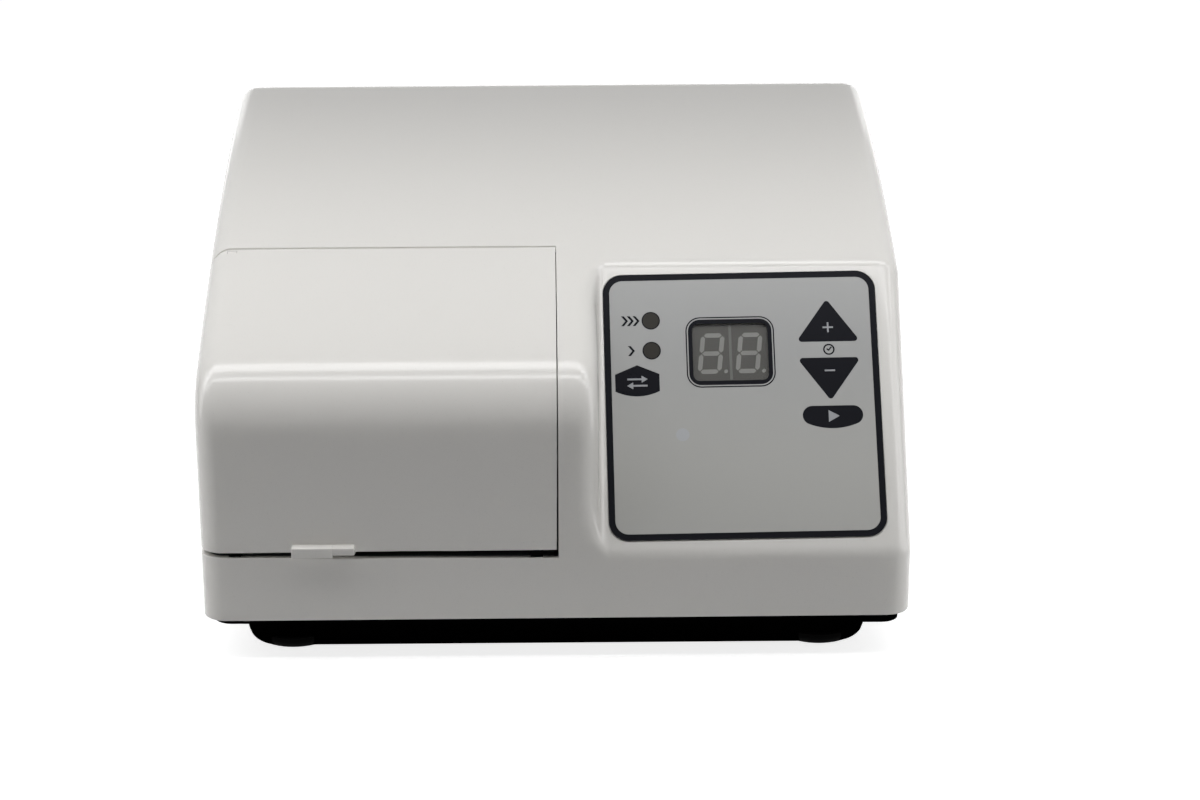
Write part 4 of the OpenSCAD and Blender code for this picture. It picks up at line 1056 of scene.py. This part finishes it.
window = console_prism("smoked_window", scaled(window_edge), recess_n, film_n, SMOKE)
place_piece(window, "base", "smoked_window", "display_window")
line_edge = window_rect(27.6, 22.5, 4.0)
printed("window_pale_line", [(window_edge, line_edge)], FILM, "base")
printed("window_border", [(line_edge, window_rect(24.9, 19.6, 2.2))], INK, "base")
discs = [console_prism(f"lamp_disc_{i}", scaled(circle_points(place, lamp_r)), recess_n, film_n, LAMP_FILM)
         for i, place in enumerate(lamp_at)]
place_piece(join(*discs), "base", "smoked_window", "lamp_windows")
printed("lamp_rims", [ring_shape(place, 3.05, 0.35) for place in lamp_at], INK, "base")
modules = []
for sign in (-1, 1):
    centre = (window_mid[0] + sign * digit_size[0] / 2, window_mid[1])
    outline = round_rect(digit_size[0] - 0.2, digit_size[1], 0.35, 3, centre)
    modules.append(console_prism(f"digit_module_{sign}", scaled(outline), digit_n - digit_depth, digit_n,
                                 DIGIT_FACE))
place_piece(join(*modules), "base", "digit_face", "display_digits")
dress(LENS, "lamps")


def segment_shapes(centre):
    """Seven leaning segments and a point, for one digit."""
    reach, rise, thick, gap = 3.2, 6.2, 1.5, 0.22
    t = thick / 2
    shapes = []
    w = reach - gap
    for y in (rise, 0, -rise):
        shapes.append([(w, y), (w - t, y + t), (t - w, y + t), (-w, y), (t - w, y - t), (w - t, y - t)])
    for x in (-reach, reach):
        for y0, y1 in ((gap, rise - gap), (gap - rise, -gap)):
            shapes.append([(x, y1), (x - t, y1 - t), (x - t, y0 + t),
                           (x, y0), (x + t, y0 + t), (x + t, y1 - t)])
    shapes.append(circle_points((reach + 1.5 + rise * digit_lean, -rise), 0.65, 20))
    return [[(centre[0] + x + y * digit_lean, centre[1] + y) for x, y in shape] for shape in shapes]


digits = [shape for x in (-6.3, 6.2) for shape in segment_shapes((window_mid[0] + x, window_mid[1] - 0.2))]
printed("module_divider", [bar((window_mid[0] + 0.1, window_mid[1]), 18.6, 0.9, 90)], DIVIDER, "base",
        digit_n - 0.02 * MM, digit_n + 0.04 * MM)
printed("digit_segments", digits, SEGMENT, "base", digit_n - 0.02 * MM, digit_n + 0.05 * MM)


# Base pan and feet
# A black tray hangs under the housing on a thin plate that shows as a line. Its glossless near-black front
# is partly painted shade, standing in for the shadow under the body. Four flat rubber domes carry it, each
# with a screw up its middle.
def ring_loft(name, rings, material):
    """A closed skin through rounded rectangles: (side inset, front, back, height, corner radius)."""
    verts, faces = [], []
    for inset, front, back, z, r in rings:
        ring = round_rect(2 * (half_w - inset), back - front, r, 8, (0, (front + back) / 2))
        verts += [(x, y + FRONT, z) for x, y in ring]
    n = len(verts) // len(rings)
    for k in range(len(rings) - 1):
        faces += [(k * n + i, k * n + (i + 1) % n, (k + 1) * n + (i + 1) % n, (k + 1) * n + i)
                  for i in range(n)]
    faces += [tuple(range(n)), tuple(range((len(rings) - 1) * n, len(rings) * n))]
    return faced_outward(mesh_object(name, verts, faces, material))


def lathe(name, profile, centre, steps=48):
    """A turned piece about an upright axis, its profile closed and given as (radius, height)."""
    count = len(profile)
    verts = [(centre[0] + r * math.cos(2 * math.pi * k / steps),
              centre[1] + FRONT + r * math.sin(2 * math.pi * k / steps), z)
             for k in range(steps) for r, z in profile]
    faces = [(k * count + i, ((k + 1) % steps) * count + i, ((k + 1) % steps) * count + (i + 1) % count,
              k * count + (i + 1) % count)
             for k in range(steps) for i in range(count)]
    return faced_outward(mesh_object(name, verts, faces))


pan_side, pan_front, pan_back, pan_z = 14 * MM, 9 * MM, 170 * MM, 1.0 * MM
pan_r = 6 * MM
plate_inset = 3.2 * MM
plate_back = 175.5 * MM
plate_z = base_z - 1 * MM
rim_z = base_z + 2.5 * MM
out_to_plate = plate_inset - pan_side
rings = []
for i in range(11):
    a = math.radians(9 * i)
    inward = 1 - math.sin(a)
    rings.append((pan_side + 8 * MM * inward, pan_front + 3 * MM * inward, pan_back - 3 * MM * inward,
                  pan_z + 5.3 * MM * (1 - math.cos(a)), pan_r - 3 * MM * inward))
# from the tray's wall out to the plate's edge, up its rim, and back down inside to the floor
for inset, z in ((0, plate_z), (out_to_plate, plate_z), (out_to_plate, rim_z),
                 (out_to_plate + 1.2 * MM, rim_z), (out_to_plate + 1.2 * MM, base_z),
                 (2.5 * MM, base_z), (2.5 * MM, 4.5 * MM)):
    outer = inset / out_to_plate
    rings.append((pan_side + inset, pan_front + (plate_inset - pan_front) * outer,
                  pan_back + (plate_back - pan_back) * outer, z, pan_r))
pan = ring_loft("base_tray", rings, PAN_BLACK_AND_SHADE)
foot_places = [(side * 87 * MM, y) for side in (-1, 1) for y in (23.5 * MM, 157.5 * MM)]
post = [(1.6 * MM, 4 * MM), (4 * MM, 4 * MM), (4 * MM, 11 * MM), (1.6 * MM, 11 * MM)]
join(pan, *[lathe("post", post, place) for place in foot_places])
# the plate's underside hangs lower, and more so on the right
for v in pan.data.vertices:
    if abs(v.co.z - plate_z) < 0.01 * MM:
        v.co.z -= 1.25 * MM + 0.55 * MM * v.co.x / half_w
smooth_by_angle(pan, 30)
place_piece(pan, "base", "black_base", "base_pan")

foot_profile = [(1.9 * MM, 5.3 * MM), (1.9 * MM, 2 * MM), (4.2 * MM, 2 * MM), (4.2 * MM, 0)]
foot_profile += [(10 * MM + 6 * MM * math.sin(math.radians(a)), 5 * MM * (1 - math.cos(math.radians(a))))
                 for a in range(0, 91, 6)]
foot_profile.append((15.6 * MM, 5.3 * MM))
feet = join(*[lathe("foot", foot_profile, place) for place in foot_places])
feet.name = "rubber_feet"
smooth_by_angle(feet, 40)
feet.data.materials.append(RUBBER)
place_piece(feet, "base", "black_rubber", "feet")


# Screws
# Zinc-plated pan heads with a cross recess: four up through the feet, four that hold the pan, two beside
# the inlet, and those of the boards, the motor and the fork.
STEEL = plain_finish("zinc_plate", (0.4, 0.41, 0.42), 0.36, 1200, 0.03, 0.1, 1.0)


def screw_shape(name, head_r, head_h, shank_r, length):
    """A screw along Z: its head stands above zero and its shank, with a short point, hangs below."""
    profile = [(0, -length), (shank_r * 0.5, -length), (shank_r, -length + shank_r), (shank_r, -0.2 * MM),
               (shank_r + 0.1 * MM, 0), (head_r, 0)]
    crown = [math.radians(a) for a in range(0, 91, 18)]
    profile += [(head_r * (0.72 + 0.28 * math.cos(a)), head_h * (0.55 + 0.45 * math.sin(a))) for a in crown]
    profile.append((0, head_h))
    made = welded(lathe(name, profile, (0, -FRONT), 28), 0.001 * MM)
    for turn in (0, 90):
        arm = block("recess", (-head_r * 0.6, -FRONT - head_r * 0.14, head_h * 0.15),
                    (head_r * 0.6, -FRONT + head_r * 0.14, head_h * 2))
        arm.data.transform(Matrix.Rotation(math.radians(turn), 4, "Z"))
        cut_with(made, arm)
    return made


def named_tree(name, *inputs):
    """A Geometry Nodes tree, its inputs' sockets by name, and its end. Inputs are (name, kind, value)."""
    group = bpy.data.node_groups.new(name, "GeometryNodeTree")
    group.interface.new_socket("Geometry", in_out="INPUT", socket_type="NodeSocketGeometry")
    for label, kind, value in inputs:
        socket = group.interface.new_socket(label, in_out="INPUT", socket_type="NodeSocket" + kind)
        if value is not None:
            socket.default_value = value
    group.interface.new_socket("Geometry", in_out="OUTPUT", socket_type="NodeSocketGeometry")
    tree = Tree(group)
    given = {socket.name: Sock(tree, socket) for socket in group.nodes.new("NodeGroupInput").outputs}
    return tree, given, group.nodes.new("NodeGroupOutput")


def finish_tree(tree, shape, given, last):
    """Makes instances real, gives them the finish and hands them out."""
    real = tree.node("GeometryNodeRealizeInstances", None, Geometry=shape)
    dressed = tree.node("GeometryNodeSetMaterial", None, Geometry=real, Material=given["Finish"])
    tree.tree.links.new(dressed.link, last.inputs["Geometry"])
    return tree.tree


def repeat_tree():
    """Puts a shape on every point of a mesh, turned and sized alike."""
    tree, given, last = named_tree("repeat_on_points", ("Shape", "Object", None), ("Turn", "Rotation", None),
                                   ("Size", "Float", 1.0), ("Finish", "Material", None))
    shape = tree.node("GeometryNodeObjectInfo", None, Object=given["Shape"], As_Instance=True, out="Geometry")
    placed = tree.node("GeometryNodeInstanceOnPoints", None, Points=given["Geometry"], Instance=shape,
                       Rotation=given["Turn"], Scale=given["Size"])
    return finish_tree(tree, placed, given, last)


def grow(name, points, tree, **values):
    """A plain mesh made by a Geometry Nodes tree on some points, which are given from the front face."""
    obj = mesh_object(name, [(x, y + FRONT, z) for x, y, z in points], [])
    made = modifier(obj, "NODES", node_group=tree)
    for item in tree.interface.items_tree:
        label = item.name.replace(" ", "_")
        if item.in_out == "INPUT" and label in values:
            made[item.identifier] = values[label]
    applied(obj)
    obj.data.polygons.foreach_set("material_index", [0] * len(obj.data.polygons))
    obj.data.materials.clear()
    obj.data.materials.append(values["Finish"])
    return obj


ways = {"up": (0, 0, 0), "down": (math.pi, 0, 0), "left": (0, -math.pi / 2, 0),
        "front": (math.pi / 2, 0, 0), "rear": (-math.pi / 2, 0, 0)}
REPEAT = repeat_tree()


def screws(node, body, way, head_r, head_h, shank_r, length, places):
    """Like screws that stand for one CAD node, with their heads' undersides on the given points."""
    pattern = screw_shape(node + "_pattern", head_r, head_h, shank_r, length)
    obj = grow(node + "_set", places, REPEAT, Shape=pattern, Turn=ways[way], Finish=STEEL)
    bpy.data.objects.remove(pattern)
    smooth_by_angle(obj, 40)
    return place_piece(obj, body, "zinc_steel", node)


def corners_of(node, inset, z):
    """The four places where upright screws sit, from their node's box."""
    low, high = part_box(node)
    return [(x, y - FRONT, z) for x in (low[0] + inset, high[0] - inset)
            for y in (low[1] + inset, high[1] - inset)]


screw_r = 1.5 * MM
upright_sets = (("foot_screws", "down", 3.2, 1.4, 7.6, 3.2, 2.0),
                ("base_pan_screws", "down", 2.8, 2.0, 13, 2.8, 12),
                ("power_board_screws", "up", 2.8, 2.0, 4.6, 2.8, 9.6),
                ("motor_bracket_screws", "up", 2.8, 2.0, 9, 2.8, 14.5))
for node, way, head_r, head_h, length, inset, seat_z in upright_sets:
    screws(node, "base", way, head_r * MM, head_h * MM, screw_r, length * MM,
           corners_of(node, inset * MM, seat_z * MM))
screws("inlet_screws", "base", "rear", 2.8 * MM, 0.8 * MM, screw_r, 6 * MM,
       [(x, 180 * MM, inlet_at[1]) for x in (inlet_at[0] - 20 * MM, inlet_at[0] + 20 * MM)])
screws("fork_screws", "arm", "front", 2.4 * MM, 1.4 * MM, screw_r, 7 * MM,
       [(x, 39 * MM, slot_z) for x in (slot_x - 7 * MM, slot_x + 7 * MM)])
bracket_x = -28.5 * MM
screws("motor_face_screws", "base", "left", 2.8 * MM, 2.0 * MM, screw_r, 5 * MM,
       [(bracket_x, y, slot_z) for y in (81.5 * MM, 106.5 * MM)])


# Springs
# Coils of drawn steel wire. One stands on the base under the mixing arm, and two, slipped over the
# fork's rods, push the jaw.
def coil_tree():
    """A wire coil along the turned Z axis, on every point."""
    tree, given, last = named_tree(
        "wire_coil", ("Coil Radius", "Float", 0.003), ("Wire Radius", "Float", 0.0005),
        ("Length", "Float", 0.04), ("Turns", "Float", 9.0), ("Turn", "Rotation", None),
        ("Finish", "Material", None))
    path = tree.node("GeometryNodeCurveSpiral", None, Resolution=32, Rotations=given["Turns"],
                     Start_Radius=given["Coil Radius"], End_Radius=given["Coil Radius"],
                     Height=given["Length"])
    round_wire = tree.node("GeometryNodeCurvePrimitiveCircle", None, Resolution=10,
                           Radius=given["Wire Radius"])
    wire = tree.node("GeometryNodeCurveToMesh", None, Curve=path, Profile_Curve=round_wire, Fill_Caps=True)
    placed = tree.node("GeometryNodeInstanceOnPoints", None, Points=given["Geometry"], Instance=wire,
                       Rotation=given["Turn"])
    return finish_tree(tree, placed, given, last)


COIL = coil_tree()
WIRE = plain_finish("spring_wire", (0.55, 0.55, 0.56), 0.28, 1500, 0.02, 0.05, 1.0)
low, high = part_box("arm_spring")
seat = ((low[0] + high[0]) / 2, (low[1] + high[1]) / 2 - FRONT, low[2] + 0.6 * MM)
arm_spring = grow("arm_coil", [seat], COIL, Coil_Radius=3 * MM, Wire_Radius=0.5 * MM,
                  Length=high[2] - low[2] - 1.2 * MM, Turns=9.0, Turn=(0, 0, 0), Finish=WIRE)
place_piece(smooth_by_angle(arm_spring, 60), "base", "zinc_steel", "arm_spring")
low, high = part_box("jaw_springs")
seats = [(low[0] + 0.4 * MM, (low[1] + high[1]) / 2 - FRONT, z) for z in (66.5 * MM, 77.5 * MM)]
jaw_springs = grow("jaw_coils", seats, COIL, Coil_Radius=1.8 * MM, Wire_Radius=0.35 * MM,
                   Length=high[0] - low[0] - 0.8 * MM, Turns=5.0, Turn=(0, math.pi / 2, 0), Finish=WIRE)
place_piece(smooth_by_angle(jaw_springs, 60), "arm", "zinc_steel", "jaw_springs")
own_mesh(jaw_springs)


# Mixing drive
# A drawn steel motor with two ferrite magnets and a plastic end bell hangs in a bent zinc-plated bracket
# on rubber mounts. Its shaft carries the wound armature, the slanted brass hub, a nut and the fan.
def lined_finish(name, tone, line, axis, pitch, rough, metallic=0.0):
    """Fine lines across one axis: laminations, wound wire or the marks of a lathe."""
    material, tree = new_material(name)
    along = tree.node("ShaderNodeSeparateXYZ", None, tree.place(), out=axis) * (1 / pitch)
    part = tree.node("ShaderNodeMath", {"operation": "FRACT"}, along + tree.noise(300, 1, 0.5) * 0.25)
    groove = part < 0.25
    drift = tree.noise(90, 3, 0.6)
    colour = tree.mix(groove, tree.mix(drift * 0.4, tone, tuple(c * 0.75 for c in tone)), line)
    return surfaced(material, tree, Base_Color=colour, Roughness=drift * 0.15 + (rough - 0.07),
                    Metallic=metallic, Normal=tree.bump(groove * -1.0, 0.4, 0.05 * MM))


def sheet_zinc():
    """Zinc plate with faint crystals, as on bent sheet."""
    material, tree = new_material("zinc_sheet")
    crystal = tree.node("ShaderNodeTexVoronoi", None, Vector=tree.place(), Scale=220.0, out="Color")
    tint = tree.node("ShaderNodeSeparateXYZ", None, crystal, out="X")
    colour = tree.mix(tint * 0.6, (0.56, 0.57, 0.58), (0.68, 0.69, 0.69))
    return surfaced(material, tree, Base_Color=colour, Roughness=tint * 0.12 + 0.27, Metallic=1.0,
                    Normal=tree.bump(tree.noise(900, 2, 0.5), 0.03, 0.1 * MM))


TURNED = lined_finish("turned_steel", (0.60, 0.60, 0.61), (0.50, 0.50, 0.51), "X", 0.35 * MM, 0.26, 1.0)
dress(TURNED, "motor_can", "motor_bearings", "motor_shaft", "hub_nut", "fork_rods", "lid_hinge_pins")
dress(sheet_zinc(), "motor_bracket", "mixing_arm")
dress(lined_finish("ground_magnet", (0.055, 0.055, 0.06), (0.04, 0.04, 0.045), "X", 0.8 * MM, 0.55, 0.3),
      "motor_magnets", "lid_magnet")
dress(lined_finish("wound_copper", (0.42, 0.17, 0.07), (0.16, 0.06, 0.03), "X", 0.45 * MM, 0.32, 0.85),
      "motor_armature")
dress(lined_finish("turned_brass", (0.62, 0.43, 0.15), (0.50, 0.34, 0.11), "X", 0.3 * MM, 0.24, 1.0),
      "wobble_hub")
dress(plain_finish("motor_plastic", (0.028, 0.028, 0.028), 0.5, 1100, 0.08), "motor_end_bell", "motor_saddle")
dress(plain_finish("fan_plastic", (0.03, 0.03, 0.032), 0.42, 800, 0.05), "cooling_fan")
dress(RUBBER, "motor_mounts")


# Chamber and fork
# A textured black tray closes the chamber's floor. The fork and its sprung jaw are dark glass-filled
# plastic, and between them the capsule would sit. A reed switch beside the lid reads its magnet.
def glass_filled():
    """Moulded plastic whose short fibres show as pale flecks under a coarse grain."""
    material, tree = new_material("glass_filled_plastic")
    tone = (0.045, 0.045, 0.048)
    fibres = tree.noise(1900, 1, 0.4) > 0.66
    coarse = tree.noise(700, 3, 0.6)
    colour = tree.mix(fibres * 0.25, tree.mix(coarse, tone, tuple(c * 1.3 for c in tone)), (0.16, 0.16, 0.16))
    return surfaced(material, tree, Base_Color=colour, Roughness=coarse * 0.15 + 0.38,
                    Normal=tree.bump(coarse, 0.15, 0.2 * MM))


dress(glass_filled(), "capsule_fork", "sprung_jaw")
dress(plain_finish("grained_black", (0.022, 0.022, 0.022), 0.55, 1000, 0.25), "chamber_tray")
dress(BLACK, "reed_switch")


# Boards
# Two green lacquered boards. The sloping one carries the display, the lamps, the key switches, chips and
# a buzzer; the level one carries the transformer, the relay, two capacitors and the fuse.
def lacquered_board():
    """Green lacquer over copper tracks, with tinned pads."""
    material, tree = new_material("green_lacquer")
    place = tree.place()
    tracks = tree.node("ShaderNodeTexBrick", None, Vector=place, Scale=120.0, Mortar_Size=0.07,
                       Mortar_Smooth=0.1, Brick_Width=1.7, Row_Height=0.31, out="Fac")
    pads = tree.node("ShaderNodeTexVoronoi", None, Vector=place, Scale=260.0, out="Distance") < 0.16
    cloud = tree.noise(40, 3, 0.5, place)
    colour = tree.mix(tracks * 0.6, tree.mix(cloud * 0.5, (0.015, 0.13, 0.05), (0.012, 0.10, 0.04)),
                      (0.035, 0.23, 0.09))
    colour = tree.mix(pads, colour, (0.60, 0.60, 0.58))
    return surfaced(material, tree, Base_Color=colour, Roughness=cloud * 0.08 + 0.24, Metallic=pads * 0.9,
                    Normal=tree.bump(tracks + pads, 0.3, 0.05 * MM), Coat_Weight=0.3, Coat_Roughness=0.1)


def tin_ended(name, tone, axis, low_end, high_end):
    """A plain body between two limits along an axis, and bare tin outside them."""
    material, tree = new_material(name)
    along = tree.node("ShaderNodeSeparateXYZ", None, tree.place(), out=axis)
    outside = (along < low_end) + (along > high_end)
    drift = tree.noise(160, 3, 0.6)
    body = tree.mix(drift * 0.4, tone, tuple(c * 0.8 for c in tone))
    colour = tree.mix(outside, body, (0.62, 0.62, 0.62))
    return surfaced(material, tree, Base_Color=colour, Roughness=drift * 0.12 + 0.24,
                    Metallic=outside * 0.9, Normal=tree.bump(drift, 0.04, 0.1 * MM))


dress(lacquered_board(), "control_board", "power_board")
dress(plain_finish("chip_resin", (0.02, 0.02, 0.021), 0.5, 1300, 0.08), "control_chips", "key_switches",
      "buzzer")
dress(STEEL, "control_board_screws")
dress(plain_finish("blue_case", (0.02, 0.075, 0.26), 0.28, 500, 0.02, 0.08), "relay")
low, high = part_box("capacitors")
dress(tin_ended("sleeved_can", (0.02, 0.02, 0.08), "Z", low[2] - 1 * MM, high[2] - 0.2 * MM), "capacitors")
low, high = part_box("fuse")
dress(tin_ended("ceramic_and_tin", (0.58, 0.58, 0.56), "Y", low[1] + 4.5 * MM, high[1] - 4.5 * MM), "fuse")

low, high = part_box("transformer")
middle = Vector(((low[0] + high[0]) / 2, (low[1] + high[1]) / 2 - FRONT, (low[2] + high[2]) / 2))
half_sheet = 0.21 * MM
core_plate = plate_y("core_plate", round_rect(42 * MM, 34 * MM, 1.5 * MM, 4), -FRONT - half_sheet,
                     -FRONT + half_sheet)
sheets = [(middle.x, middle.y + (i - 17.5) * 0.5 * MM, middle.z) for i in range(36)]
core = grow("laminated_core", sheets, REPEAT, Shape=core_plate, Turn=(0, 0, 0),
            Finish=plain_finish("core_sheet", (0.12, 0.12, 0.125), 0.5, 900, 0.1, 0.15, 0.6))
bpy.data.objects.remove(core_plate)
smooth_by_angle(core, 30)
place_piece(core, "base", "core_iron", "transformer")
coil = block("transformer_coil", (middle.x - 14 * MM, low[1] - FRONT, middle.z - 11 * MM),
             (middle.x + 14 * MM, high[1] - FRONT, middle.z + 11 * MM))
modifier(coil, "BEVEL", width=2.5 * MM, segments=5, limit_method="NONE")
applied(coil)
smooth_by_angle(coil, 40)
coil.data.materials.append(lined_finish("taped_winding", (0.62, 0.46, 0.14), (0.42, 0.29, 0.08), "Z",
                                        0.7 * MM, 0.4))
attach(coil, "base")
